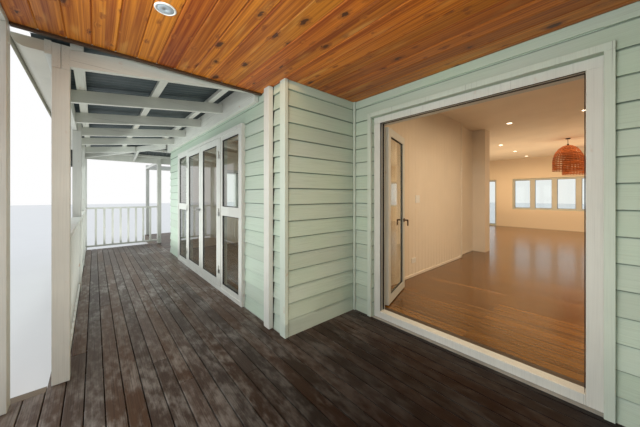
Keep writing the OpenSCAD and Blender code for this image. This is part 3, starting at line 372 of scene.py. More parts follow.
@dataclass(frozen=True)
class WeatheredDecking(Finish):
    """Oiled hardwood decking walked grey: umber boards with worn pale patches, darker and redder under the
    porch roof.
    """

    umber: str = "#57463a"
    worn: str = "#aeaca6"
    # Colour the boards reach by the entry: its darkness is painted shade of the porch roof.
    red: str = "#190c07"
    axis: Axis = Axis.X
    shade_patch_x: tuple[float, float] = (-3.4, 0.2)
    shade_patch_y: tuple[float, float] = (-7.4, -5.8)

    def dress(self, add: Adder, shader: bpy.types.Node) -> None:
        """Wear comes in patches of about half a metre that change from board to board, over a 6 mm grain.

        Towards the entry, from the first to the last x and y of the patch, the boards grow darker and redder:
        the darkening is painted shade of the porch roof.

        Args:
            add: adds nodes to the material.
            shader: shader that takes the finish.
        """
        number = add("Attribute", attribute_name=BOARD, out="Fac")
        away = add("Math", (number, 43.0), operation="MULTIPLY")
        trodden = fibre(add, cell_along(self.axis, 0.42, 0.2), detail=5.0)
        scuffs = fibre(add, cell_along(self.axis, 0.09, 0.035), away, 5.0)
        scuffed = add("Math", (scuffs, 0.45), operation="MULTIPLY")
        patches = add("Math", (trodden, 0.55, scuffed), operation="MULTIPLY_ADD")
        drift = fibre(add, (1.2, 1.2, 1.2), detail=2.0)
        grain = fibre(add, cell_along(self.axis, 0.4, 6 * MM), away, 4.0)
        spot = add("SeparateXYZ", (add("TexCoord", out="Object"),)).node.outputs
        # Painted shade: the boards darken and redden towards the entry, under the porch roof.
        along = add("MapRange", (spot[0], *self.shade_patch_x, 0.0, 1.0), **SOFT)
        depth = add("MapRange", (spot[1], *self.shade_patch_y, 0.35, 1.0), **SOFT)
        roof_shade_patch = add("Math", (along, depth), operation="MULTIPLY")
        tone = add("Mix", {0: roof_shade_patch, 6: linear(self.umber), 7: linear(self.red)}, **BLEND)
        second = add("Math", (add("Math", (number, 5.7), operation="MULTIPLY"),), operation="FRACT")
        varied = add("HueSaturation", {
            "Saturation": add("MapRange", (number, 0.0, 1.0, 0.7, 1.2)),
            "Value": add("MapRange", (second, 0.0, 1.0, 0.7, 1.35)),
            "Color": tone,
        })
        worn = add("MapRange", (patches, 0.43, 0.64, 0.0, 0.85), **SOFT)
        wide = add("MapRange", (drift, 0.3, 0.65, 0.3, 1.0), **SOFT)
        covered = add("Math", (roof_shade_patch, -0.72, 0.8), operation="MULTIPLY_ADD")
        share = add("Math", (add("Math", (worn, wide), operation="MULTIPLY"), covered), operation="MULTIPLY")
        walked = add("Mix", {0: share, 6: varied, 7: linear(self.worn)}, **BLEND)
        streak = add("MapRange", (grain, 0.42, 0.8, 0.0, 0.65), **SOFT)
        join(shader, {
            "Base Color": add("Mix", {0: streak, 6: walked, 7: linear("#1d1410")}, **BLEND),
            "Roughness": add("MapRange", (patches, 0.3, 0.75, 0.34, 0.62)),
            "Specular IOR Level": 0.16,
            "Normal": add("Bump", {"Height": grain, "Distance": 1.0 * MM}),
        })


@dataclass(frozen=True)
class PolishedFloor(Finish):
    """Tongue and groove hardwood floor, sanded and sealed: brown boards, fine joints and a soft gloss."""

    pale: str = "#80561f"
    deep: str = "#52330f"
    joint: str = "#2c1a0d"
    row: float = 130 * MM
    length: float = 2.1

    def dress(self, add: Adder, shader: bpy.types.Node) -> None:
        """Joints of 1 mm are drawn at 3 mm so that they show from the porch.

        Args:
            add: adds nodes to the material.
            shader: shader that takes the finish.
        """
        bricks = add("TexBrick", {
            "Vector": add("TexCoord", out="Object"),
            "Color1": (0.0, 0.0, 0.0, 1.0),
            "Color2": (1.0, 1.0, 1.0, 1.0),
            "Scale": 1.0,
            "Mortar Size": 1.5 * MM,
            "Mortar Smooth": 0.1,
            "Brick Width": self.length,
            "Row Height": self.row,
        }, offset=0.37, offset_frequency=3).node.outputs
        number = add("SeparateColor", (bricks["Color"],))
        grain = fibre(add, (0.8, 16 * MM, 1.0), add("Math", (number, 23.0), operation="MULTIPLY"), 5.0)
        share = add("MapRange", (grain, 0.32, 0.68, 0.0, 1.0), **SOFT)
        timber = add("Mix", {0: share, 6: linear(self.pale), 7: linear(self.deep)}, **BLEND)
        value = add("MapRange", (number, 0.0, 1.0, 0.74, 1.16))
        tone = add("HueSaturation", {"Value": value, "Color": timber})
        level = add("Math", (1.0, bricks["Fac"]), operation="SUBTRACT")
        join(shader, {
            "Base Color": add("Mix", {0: bricks["Fac"], 6: tone, 7: linear(self.joint)}, **BLEND),
            "Roughness": 0.24,
            "Coat Weight": 0.3,
            "Coat Roughness": 0.16,
            "Normal": add("Bump", {"Height": level, "Distance": 0.6 * MM}),
        })


@dataclass(frozen=True)
class CoatedSteel(Finish):
    """Roll-formed zinc-aluminium steel with a baked coat: even satin colour with thin dust and dried rain."""

    colour: str
    roughness: float = 0.42
    dust: float = 0.5

    def dress(self, add: Adder, shader: bpy.types.Node) -> None:
        """Dust in clouds of 0.4 m shifts the coat by a shade, and grit of 6 mm dulls its sheen.

        Args:
            add: adds nodes to the material.
            shader: shader that takes the finish.
        """
        clouds = fibre(add, (0.4, 0.4, 0.4), detail=5.0)
        grit = fibre(add, (6 * MM, 6 * MM, 6 * MM), detail=2.0)
        share = add("MapRange", (clouds, 0.4, 0.75, 0.0, self.dust), **SOFT)
        tones = {0: share, 6: linear(self.colour), 7: linear("#8d8f8a")}
        sheen = (grit, 0.3, 0.7, self.roughness - 0.06, self.roughness + 0.14)
        self.surface(add, shader, tones, sheen, 0.1 * MM)


@dataclass(frozen=True)
class InteriorPaint(Finish):
    """Rolled low-sheen wall paint: warm cream with the orange-peel stipple of a roller nap."""

    colour: str
    cloud: float = 0.94

    def dress(self, add: Adder, shader: bpy.types.Node) -> None:
        """Roller stipple of about 3 mm is drawn at 5 mm so that it shows.

        Args:
            add: adds nodes to the material.
            shader: shader that takes the finish.
        """
        stipple = fibre(add, (5 * MM, 5 * MM, 5 * MM), detail=2.0)
        share = add("MapRange", (fibre(add, (0.8, 0.8, 0.8), detail=2.0), 0.35, 0.7, 0.0, 1.0), **SOFT)
        tones = {0: share, 6: linear(self.colour), 7: linear(self.colour, self.cloud)}
        self.surface(add, shader, tones, (stipple, 0.3, 0.7, 0.5, 0.62), 0.2 * MM)


@dataclass(frozen=True)
class CastConcrete(Finish):
    """Cast concrete slab edge: mid grey, mottled, with fine sand grain."""

    colour: str = "#9c9a93"

    def dress(self, add: Adder, shader: bpy.types.Node) -> None:
        """Cement bloom in clouds over a sand grain of 2 mm, drawn at 4 mm.

        Args:
            add: adds nodes to the material.
            shader: shader that takes the finish.
        """
        grit = fibre(add, (4 * MM, 4 * MM, 4 * MM), detail=2.0)
        share = add("MapRange", (fibre(add, (0.3, 0.3, 0.3), detail=6.0), 0.35, 0.7, 0.0, 1.0), **SOFT)
        tones = {0: share, 6: linear(self.colour), 7: linear(self.colour, 0.68)}
        self.surface(add, shader, tones, (grit, 0.2, 0.8, 0.75, 0.92), 0.8 * MM)


@dataclass(frozen=True)
class SawnTimber(Finish):
    """Sawn timber: open grain of 3 mm along the piece, over slow changes of tone."""

    colour: str
    axis: Axis = Axis.Y
    roughness: float = 0.78

    def dress(self, add: Adder, shader: bpy.types.Node) -> None:
        """Raised fibre takes the light, and the hollows stay dark with dirt.

        Args:
            add: adds nodes to the material.
            shader: shader that takes the finish.
        """
        grain = fibre(add, cell_along(self.axis, 0.35, 3 * MM), detail=5.0)
        clouds = add("MapRange", (fibre(add, (0.5, 0.5, 0.5), detail=3.0), 0.2, 0.8, 0.4, 1.0), **SOFT)
        dark = add("MapRange", (grain, 0.3, 0.8, 0.0, 1.0), **SOFT)
        share = add("Math", (dark, clouds), operation="MULTIPLY")
        tones = {0: share, 6: linear(self.colour), 7: linear(self.colour, 0.5)}
        sheen = (grain, 0.2, 0.8, self.roughness - 0.1, self.roughness + 0.08)
        self.surface(add, shader, tones, sheen, 0.9 * MM)


@dataclass(frozen=True)
class FloatGlass(Finish):
    """Double float glass: clear with a faint green cast, mirror-smooth, so it shows sky and room at once."""

    tint: str = "#f1f6f2"

    def dress(self, add: Adder, shader: bpy.types.Node) -> None:
        """Light passes straight through to the room, and faint dust keeps the pane from vanishing.

        Args:
            add: adds nodes to the material.
            shader: shader that takes the finish.
        """
        dust = fibre(add, (0.11, 0.11, 0.11))
        join(shader, {
            "Base Color": linear(self.tint),
            "Roughness": add("MapRange", (dust, 0.45, 0.85, 0.0, 0.06)),
            "IOR": 1.5,
            "Transmission Weight": 1.0,
        })
        path = add("LightPath", out="Is Shadow Ray").node.outputs
        passing = add("Math", (path["Is Shadow Ray"], path["Is Diffuse Ray"]), operation="MAXIMUM")
        clear = add("BsdfTransparent", (linear(self.tint),))
        surface = add("MixShader", (passing, shader.outputs[0], clear))
        join(shader.id_data.nodes["Material Output"], {"Surface": surface})


@dataclass(frozen=True)
class BrushedMetal(Finish):
    """Satin-brushed solid metal: fine marks across the part spread its highlights."""

    colour: str = "#c4c5c1"
    roughness: float = 0.3

    def dress(self, add: Adder, shader: bpy.types.Node) -> None:
        """Brush marks of 0.5 mm are drawn at 2 mm so that they show.

        Args:
            add: adds nodes to the material.
            shader: shader that takes the finish.
        """
        marks = fibre(add, cell_along(Axis.Z, 2 * MM, 60 * MM), detail=3.0)
        join(shader, {
            "Base Color": linear(self.colour),
            "Metallic": 1.0,
            "Roughness": add("MapRange", (marks, 0.2, 0.8, self.roughness - 0.08, self.roughness + 0.12)),
            "Normal": add("Bump", {"Height": marks, "Distance": 0.1 * MM}),
        })


@dataclass(frozen=True)
class MouldedPlastic(Finish):
    """Moulded plastic or rubber: one colour through, with the fine spark texture of its mould."""

    colour: str
    roughness: float = 0.5

    def dress(self, add: Adder, shader: bpy.types.Node) -> None:
        """Spark texture of 0.5 mm is drawn at 2 mm so that it shows.

        Args:
            add: adds nodes to the material.
            shader: shader that takes the finish.
        """
        spark = fibre(add, (2 * MM, 2 * MM, 2 * MM), detail=2.0)
        share = add("MapRange", (spark, 0.3, 0.7, 0.0, 1.0), **SOFT)
        tones = {0: share, 6: linear(self.colour), 7: linear(self.colour, 0.85)}
        sheen = (spark, 0.2, 0.8, self.roughness - 0.06, self.roughness + 0.08)
        self.surface(add, shader, tones, sheen, 0.15 * MM)


@dataclass(frozen=True)
class DyedCane(Finish):
    """Split cane dyed terracotta and woven: matt fibres, darker in the hollows of the weave."""

    colour: str = "#a9561c"

    def dress(self, add: Adder, shader: bpy.types.Node) -> None:
        """Fibre of 1 mm is drawn at 3 mm, and each strand takes the dye a little differently.

        Args:
            add: adds nodes to the material.
            shader: shader that takes the finish.
        """
        hair = fibre(add, (3 * MM, 3 * MM, 17 * MM), detail=3.0)
        strand = add("Attribute", attribute_name=BOARD, out="Fac")
        value = add("MapRange", (strand, 0.0, 1.0, 0.6, 1.3))
        tone = add("HueSaturation", {"Value": value, "Color": linear(self.colour)})
        share = add("MapRange", (hair, 0.35, 0.8, 0.0, 1.0), **SOFT)
        join(shader, {
            "Base Color": add("Mix", {0: share, 6: tone, 7: linear(self.colour, 0.4)}, **BLEND),
            "Roughness": 0.7,
            "Normal": add("Bump", {"Height": hair, "Distance": 0.6 * MM}),
        })


@dataclass(frozen=True)
class FrostedAcrylic(Finish):
    """Frosted acrylic diffuser: milky and smooth, lit evenly from behind where its lamp is on."""

    colour: str = "#f4efe6"
    strength: float = 0.0

    def dress(self, add: Adder, shader: bpy.types.Node) -> None:
        """Frosting of 5 mm breaks up the glow.

        Args:
            add: adds nodes to the material.
            shader: shader that takes the finish.
        """
        frost = fibre(add, (5 * MM, 5 * MM, 5 * MM), detail=2.0)
        tones = {0: frost, 6: linear(self.colour), 7: linear(self.colour, 0.9)}
        milky = add("Mix", tones, **BLEND)
        join(shader, {
            "Base Color": milky,
            "Roughness": 0.4,
            "Emission Color": milky,
            "Emission Strength": self.strength,
        })


@dataclass(frozen=True)
class HousePlan:
    """Main lines of the house, read from the frame where it holds them."""

    side_x: float
    front_y: float
    back_y: float
    entry_y: float
    post_x: float
    post_y: float
    porch_x: float
    deck_z: float
    porch_z: float
    recess_x: float = 1.074
    wall_t: float = 0.180

    @classmethod
    def from_frame(cls) -> HousePlan:
        """Reads the lines from the boxes of the loaded frame.

        Returns:
            The plan.
        """
        slab_low, slab_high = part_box("house_slab")
        beam_low, beam_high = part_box("verandah_beams")
        return cls(
            side_x=slab_high.x,
            front_y=slab_low.y,
            back_y=slab_high.y,
            entry_y=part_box("porch_deck")[1].y,
            post_x=beam_high.x,
            post_y=beam_low.y,
            porch_x=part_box("porch_beams")[1].x,
            deck_z=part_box("porch_deck")[1].z,
            porch_z=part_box("porch_ceiling")[0].z,
        )


@dataclass
class PieceMesh:
    """Collects the faces of one piece, each with the number of its board."""

    points: list[Vector] = field(default_factory=list)
    faces: list[tuple[int, ...]] = field(default_factory=list)
    boards: list[float] = field(default_factory=list)
    round_faces: list[bool] = field(default_factory=list)
    seat: Matrix = field(default_factory=Matrix)

    def add(
        self, points: Iterable[Sequence[float]], faces: Iterable[Sequence[int]], board: float = 0.0,
        smooth: bool = False
    ) -> None:
        """Adds faces, placed by the seat that is set.

        Args:
            points: corners of the new faces.
            faces: numbers of the corners of each face, among those points.
            board: number from 0 to 1 of the board that the faces belong to.
            smooth: True where the faces shade as one round surface.
        """
        base = len(self.points)
        self.points.extend(self.seat @ Vector(p) for p in points)
        for face in faces:
            self.faces.append(tuple(base + i for i in face))
            self.boards.append(board)
            self.round_faces.append(smooth)

    def prism(
        self, outline: Outline, start: float, end: float, axis: Axis, board: float = 0.0, smooth: bool = False
    ) -> None:
        """Adds a solid of constant section.

        Args:
            outline: corners in the plane across the axis: (y, z) for X, (z, x) for Y and (x, y) for Z.
            start: place of the first end along the axis.
            end: place of the last end.
            axis: direction of the solid.
            board: number of its board.
            smooth: True where its sides shade as one round surface.
        """
        count = len(outline)
        spots = {
            Axis.X: lambda reach, u, v: (reach, u, v),
            Axis.Y: lambda reach, u, v: (v, reach, u),
            Axis.Z: lambda reach, u, v: (u, v, reach),
        }
        points = [spots[axis](reach, u, v) for reach in (start, end) for u, v in outline]
        sides = [(i, (i + 1) % count, count + (i + 1) % count, count + i) for i in range(count)]
        base = len(self.points)
        self.add(points, sides, board, smooth)
        for cap in (range(count - 1, -1, -1), range(count, 2 * count)):
            self.faces.append(tuple(base + i for i in cap))
            self.boards.append(board)
            self.round_faces.append(False)

    def block(
        self, low: Sequence[float], high: Sequence[float], axis: Axis, ease: float = 2 * MM,
        board: float = 0.0
    ) -> None:
        """Adds a straight bar whose long edges are eased.

        Args:
            low: lowest corner.
            high: highest corner.
            axis: direction of the bar, whose ends stay square.
            ease: width of the eased edges.
            board: number of its board.
        """
        u, v = [(1, 2), (2, 0), (0, 1)][axis.value]
        outline = eased(low[u], high[u], low[v], high[v], ease)
        self.prism(outline, low[axis.value], high[axis.value], axis, board)

    def turned(self, profile: Outline, centre: Sequence[float], steps: int = 40, board: float = 0.0) -> None:
        """Adds a closed ring or disc turned round a vertical axis.

        Args:
            profile: closed outline of (radius, height).
            centre: point on the axis at height 0 of the profile.
            steps: number of steps round.
            board: number of its board.
        """
        count = len(profile)
        points = []
        for i in range(steps):
            angle = 2 * math.pi * i / steps
            for radius, height in profile:
                points.append((centre[0] + radius * math.cos(angle), centre[1] + radius * math.sin(angle),
                               centre[2] + height))
        faces = []
        for i in range(steps):
            for j in range(count):
                here, there, k = i * count, (i + 1) % steps * count, (j + 1) % count
                faces.append((here + j, there + j, there + k, here + k))
        self.add(points, faces, board, smooth=True)

    def strand(self, path: Sequence[Vector], width: float, depth: float, board: float = 0.0) -> None:
        """Adds a flat strand with two ends, along a path on a shade.

        Args:
            path: points along the middle of the strand.
            width: size across the path, in its own surface.
            depth: size away from the centre of the path.
            board: number of its strand.
        """
        centre = sum(path, Vector()) / len(path)
        last = len(path) - 1
        signs = ((1, -1), (1, 1), (-1, 1), (-1, -1))
        points = []
        for i, spot in enumerate(path):
            ahead = (path[min(i + 1, last)] - path[max(i - 1, 0)]).normalized()
            out = spot - centre
            out = (out - ahead * out.dot(ahead)).normalized()
            side = ahead.cross(out)
            points += [spot + side * a * width / 2 + out * b * depth / 2 for a, b in signs]
        faces = []
        for here in range(0, 4 * last, 4):
            there = here + 4
            faces += [(here + j, there + j, there + (j + 1) % 4, here + (j + 1) % 4) for j in range(4)]
        faces += [(3, 2, 1, 0), tuple(4 * last + j for j in range(4))]
        self.add(points, faces, board, smooth=True)

    def piece(
        self, name: str, finish: Finish, slot: str, body: str = HOUSE, replaces: Sequence[str] = ()
    ) -> bpy.types.Object:
        """Makes the piece from the faces and lets it ride on a body.

        Args:
            name: name of the piece.
            finish: its finish.
            slot: material slot of the record; not used.
            body: body that it moves with.
            replaces: nodes that it stands for.

        Returns:
            The new object.
        """
        mesh = bpy.data.meshes.new(name)
        mesh.from_pydata(self.points, [], self.faces)
        mesh.attributes.new(BOARD, "FLOAT", "FACE").data.foreach_set("value", self.boards)
        mesh.polygons.foreach_set("use_smooth", self.round_faces)
        shape = bmesh.new()
        shape.from_mesh(mesh)
        bmesh.ops.remove_doubles(shape, verts=shape.verts, dist=1e-6)
        bmesh.ops.recalc_face_normals(shape, faces=shape.faces)
        shape.to_mesh(mesh)
        shape.free()
        mesh.materials.append(finish.material())
        made = bpy.data.objects.new(name, mesh)
        bpy.context.scene.collection.objects.link(made)
        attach(made, body)
        if replaces:
            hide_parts(*replaces)
        LOG.info("%s: %d faces on %s", name, len(mesh.polygons), body)
        return made


def eased(low_u: float, high_u: float, low_v: float, high_v: float, ease: float) -> list[tuple[float, float]]:
    """Draws a rectangle with eased corners, counter-clockwise.

    Args:
        low_u: least first coordinate.
        high_u: greatest first coordinate.
        low_v: least second coordinate.
        high_v: greatest second coordinate.
        ease: size of the corners that are cut off.

    Returns:
        Its eight points.
    """
    return [
        (low_u + ease, low_v), (high_u - ease, low_v), (high_u, low_v + ease), (high_u, high_v - ease),
        (high_u - ease, high_v), (low_u + ease, high_v), (low_u, high_v - ease), (low_u, low_v + ease),
    ]


def solid_boxes(node: bpy.types.Object, turn: Matrix | None = None) -> list[tuple[Vector, Vector]]:
    """Finds the separate solids of a node.

    Args:
        node: node of the frame.
        turn: matrix that is applied to each corner first.

    Returns:
        The lowest and highest corner of each solid, after the turn.
    """
    shape = bmesh.new()
    shape.from_mesh(node.data)
    bmesh.ops.remove_doubles(shape, verts=shape.verts, dist=1e-5)
    boxes, seen = [], set()
    for start in shape.verts:
        if start in seen:
            continue
        queue, part = [start], []
        seen.add(start)
        while queue:
            at = queue.pop()
            part.append((turn or Matrix()) @ at.co)
            for edge in at.link_edges:
                other = edge.other_vert(at)
                if other not in seen:
                    seen.add(other)
                    queue.append(other)
        boxes.append((Vector(map(min, zip(*part))), Vector(map(max, zip(*part)))))
    shape.free()
    return boxes


def coat(node: bpy.types.Object, finish: Finish) -> None:
    """Gives a node of the frame one finish in all its slots.

    Args:
        node: node of the frame.
        finish: finish that it takes.
    """
    if not node.material_slots:
        node.data.materials.append(None)
    for slot in node.material_slots:
        slot.material = finish.material()


def soften(node: bpy.types.Object, width: float) -> None:
    """Eases the sharp edges of a node with modifiers, so its edges catch the light as planed timber does.

    Args:
        node: node of the frame.
        width: width of the eased edges.
    """
    weld = node.modifiers.new("weld", "WELD")
    weld.merge_threshold = 0.01 * MM
    bevel = node.modifiers.new("eased_edges", "BEVEL")
    bevel.width = width
    bevel.segments = 2
    bevel.limit_method = "ANGLE"
    bevel.angle_limit = math.radians(40)


@dataclass
class TimberFrame:
    """Posts, beams, roof bars, railings and trim of the frame: painted pine with eased edges."""

    ease: float = 3 * MM
    upright: tuple[str, ...] = ("porch_posts", "verandah_posts")
    lengthwise: tuple[str, ...] = (
        "porch_beams", "verandah_beams", "verandah_purlins", "ledgers", "verandah_fascias",
    )
    crosswise: tuple[str, ...] = ("verandah_rafters", "pergola_frames")

    def dress(self, nodes: Nodes) -> None:
        """Paints each node along its members and eases its edges.

        Args:
            nodes: nodes of the frame.
        """
        for axis, names in ((Axis.Z, self.upright), (Axis.X, self.lengthwise), (Axis.Y, self.crosswise)):
            paint = BrushedEnamel(f"painted_pine_{axis.name.lower()}", WHITE, axis)
            for name in names:
                coat(nodes[name], paint)
                soften(nodes[name], self.ease)
        coat(nodes["railings"], BrushedEnamel("painted_pine_rails", WHITE, Axis.Z))
        soften(nodes["railings"], 2 * MM)
        coat(nodes["ceiling_trims"], SawnTimber("stained_trim", "#4d3522", Axis.Y, 0.5))


@dataclass
class WallBoards:
    """Lapped weatherboard walls, the gable, their corner trims, and the concrete and joists below."""

    plan: HousePlan
    bead: float = 22 * MM
    joint: float = 3 * MM
    lap: float = 14 * MM
    walls: tuple[str, ...] = (
        "entry_wall_piers", "return_walls", "front_wall_piers", "door_heads", "side_walls", "back_wall",
        "porch_gable",
    )

    def build(self, nodes: Nodes) -> None:
        """Paints the boards and the linings, and sets a bead in each inner corner of the recess.

        Args:
            nodes: nodes of the frame.
        """
        paint = LappedBoardPaint("painted_weatherboard", SAGE, CREAM, self.plan)
        for name in self.walls:
            coat(nodes[name], paint)
        trim = BrushedEnamel("painted_corner_trim", "#c1ccbf", Axis.Z)
        for name in ("corner_boards", "entry_facings"):
            coat(nodes[name], trim)
            soften(nodes[name], 2 * MM)
        mesh = PieceMesh()
        x, y = self.plan.recess_x, self.plan.entry_y
        for hand in (-1, 1):
            near, far = sorted((hand * x, hand * (x - self.bead)))
            foot = self.plan.deck_z + 1 * MM
            mesh.block((near, y - self.bead, foot), (far, y, self.plan.porch_z), Axis.Z, 3 * MM)
        mesh.piece("recess_corner_beads", trim, "weatherboard")
        self.shade_joints(nodes)
        coat(nodes["house_slab"], CastConcrete("cast_concrete"))
        coat(nodes["deck_joists"], SawnTimber("treated_joists", "#6f6353"))

    def shade_joints(self, nodes: Nodes) -> None:
        """Runs a dark strip down each joint where the laps meet a half post or a corner trim: painted shade
        of the open joint.

        Args:
            nodes: nodes of the frame.
        """
        mesh = PieceMesh()
        face, bottom, top = self.plan.front_y, self.plan.deck_z + 1 * MM, self.plan.porch_z
        posts = [box for box in solid_boxes(nodes["porch_posts"]) if box[1].y > face - 5 * MM]
        trims = solid_boxes(nodes["corner_boards"])
        for low, high in posts + trims:
            inner, outer = (high.x, low.x) if low.x < 0 else (low.x, high.x)
            out = math.copysign(self.joint, outer)
            edges = [(outer, outer + out)]
            if (low, high) in posts:
                edges.append((inner, inner - out))
            for start, end in edges:
                near, far = sorted((start, end))
                mesh.block((near, face - self.joint, bottom), (far, face + self.lap, top), Axis.Z, 0.5 * MM)
        for low, high in trims:
            hand = math.copysign(1.0, low.x)
            recess_x = self.plan.recess_x
            near, far = sorted((hand * (recess_x - self.joint), hand * (recess_x + self.lap)))
            mesh.block((near, high.y, bottom), (far, high.y + self.joint, top), Axis.Z, 0.5 * MM)
        # Painted shade: these dark strips stand for the shadow in the open joints behind the laps.
        mesh.piece("board_joint_shade_strips", MouldedPlastic("painted_joint_shade", "#262620", 0.6), "black_paint")


@dataclass
class Decking:
    """Hardwood deck boards over the joists, laid along the front and along each side."""

    plan: HousePlan
    cover: float = 95 * MM
    gap: float = 5 * MM
    thickness: float = 32 * MM
    ease: float = 4 * MM
    lengths: tuple[float, ...] = (2.7, 3.6, 4.5, 5.4)
    butt: float = 3 * MM
    shortest: float = 0.6

    def build(self) -> None:
        """Lays every board of the decks in two pieces."""
        low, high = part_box("verandah_decks")
        edge_y = low.y
        rows = round((self.plan.front_y - edge_y) / self.cover)
        pitch = (self.plan.front_y - edge_y) / rows
        edge_x = self.plan.post_x + (self.plan.post_y - edge_y)
        porch_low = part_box("porch_deck")[0].y
        front = PieceMesh()
        dice = random.Random(11)
        first = math.floor((porch_low - self.plan.front_y) / pitch)
        last = math.ceil((self.plan.entry_y - self.plan.front_y) / pitch)
        for row in range(first, last):
            start = self.plan.front_y + row * pitch
            reach = edge_x if -rows <= row < 0 else (self.plan.porch_x if row < 0 else self.plan.recess_x)
            near, far = max(start, porch_low), min(start + pitch - self.gap, self.plan.entry_y - 2 * MM)
            self.row(front, dice, near, far, -reach, reach, Axis.X)
        front.piece("front_deck_boards", WeatheredDecking("weathered_hardwood_x", axis=Axis.X), "decking_red",
                    replaces=("porch_deck",))
        sides = PieceMesh()
        inner = self.plan.side_x + 3 * MM
        side_rows = round((edge_x - inner) / pitch)
        pergola_low, pergola_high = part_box("pergola_frames")
        lip = high.x - pergola_high.x
        ends = (pergola_low.y - lip, pergola_high.y + lip)
        out = edge_x + self.gap
        for hand in (-1, 1):
            for row in range(side_rows):
                across = sorted((hand * (inner + row * pitch), hand * (inner + (row + 1) * pitch - self.gap)))
                self.row(sides, dice, *across, self.plan.front_y, self.plan.back_y, Axis.Y)
            for row in range(math.ceil((high.x - out) / pitch)):
                edge = min(out + (row + 1) * pitch - self.gap, high.x)
                across = sorted((hand * (out + row * pitch), hand * edge))
                self.row(sides, dice, *across, *ends, Axis.Y)
        sides.piece("side_deck_boards", WeatheredDecking("weathered_hardwood_y", axis=Axis.Y), "decking",
                    replaces=("verandah_decks",))

    def row(
        self, mesh: PieceMesh, dice: random.Random, near: float, far: float, start: float, end: float,
        axis: Axis
    ) -> None:
        """Lays one row of boards with butt joints.

        Args:
            mesh: mesh that takes the boards.
            dice: source of the random lengths.
            near: first edge of the row across its boards.
            far: last edge of the row.
            start: first end of the row.
            end: last end of the row.
            axis: direction of the boards.
        """
        at = start
        length = dice.choice(self.lengths) * dice.uniform(0.3, 1.0)
        top = self.plan.deck_z
        while at < end - 10 * MM:
            stop = min(at + length, end)
            if end - stop < self.shortest:
                stop = end
            lift = dice.uniform(-1.0, 0.0) * MM
            outline = board_section(near, far, top - self.thickness + lift, top + lift, self.ease)
            if axis is Axis.Y:
                outline = [(v, u) for u, v in outline][::-1]
            mesh.prism(outline, at, stop - (self.butt if stop < end else 0.0), axis, dice.random())
            at = stop
            length = dice.choice(self.lengths)


def board_section(
    near: float, far: float, bottom: float, top: float, ease: float
) -> list[tuple[float, float]]:
    """Draws the section of a board whose two upper edges are rounded.

    Args:
        near: first edge across the board.
        far: last edge.
        bottom: height of its underside.
        top: height of its face.
        ease: radius of the upper edges.

    Returns:
        The corners, as (across, height).
    """
    half = ease * (1 - math.sqrt(0.5))
    return [
        (near, bottom), (far, bottom), (far, top - ease), (far - half, top - half), (far - ease, top),
        (near + ease, top), (near + half, top - half), (near, top - ease),
    ]


@dataclass
class PorchCeiling:
    """Knotty pine lining boards under the porch roof, with V joints."""

    plan: HousePlan
    cover: float = 129 * MM
    joint_y: float = -7.224
    vee: float = 6 * MM

    def build(self) -> None:
        """Lays the boards along the front and into the recess."""
        low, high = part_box("porch_ceiling")
        mesh = PieceMesh()
        dice = random.Random(5)
        first = math.floor((low.y - self.joint_y) / self.cover)
        last = math.ceil((high.y - self.joint_y) / self.cover)
        bays = ((low.y, self.plan.front_y, high.x), (self.plan.front_y, high.y, self.plan.recess_x))
        for row in range(first, last):
            near = self.joint_y + row * self.cover
            far = near + self.cover
            number = dice.random()
            for start, end, reach in bays:
                lo, hi = max(near, start), min(far, end)
                if hi - lo > 1 * MM:
                    wide = hi - lo > 4 * self.vee
                    section = self.section(lo, hi, wide and lo == near, wide and hi == far, low.z, high.z)
                    mesh.prism(section, -reach, reach, Axis.X, number)
        pine = OiledPine("oiled_knotty_pine")
        mesh.piece("porch_ceiling_boards", pine, "oiled_pine", replaces=("porch_ceiling",))

    def section(
        self, near: float, far: float, near_vee: bool, far_vee: bool, bottom: float, top: float
    ) -> list[tuple[float, float]]:
        """Draws the section of a board across its length.

        Args:
            near: y of its first edge.
            far: y of its last edge.
            near_vee: True where the first edge meets a board in a V.
            far_vee: True where the last edge does.
            bottom: height of its face.
            top: height of its back.

        Returns:
            The (y, z) corners.
        """
        points = [(near + self.vee * near_vee, bottom), (far - self.vee * far_vee, bottom)]
        points += [(far, bottom + self.vee)] * far_vee + [(far, top), (near, top)]
        return points + [(near, bottom + self.vee)] * near_vee


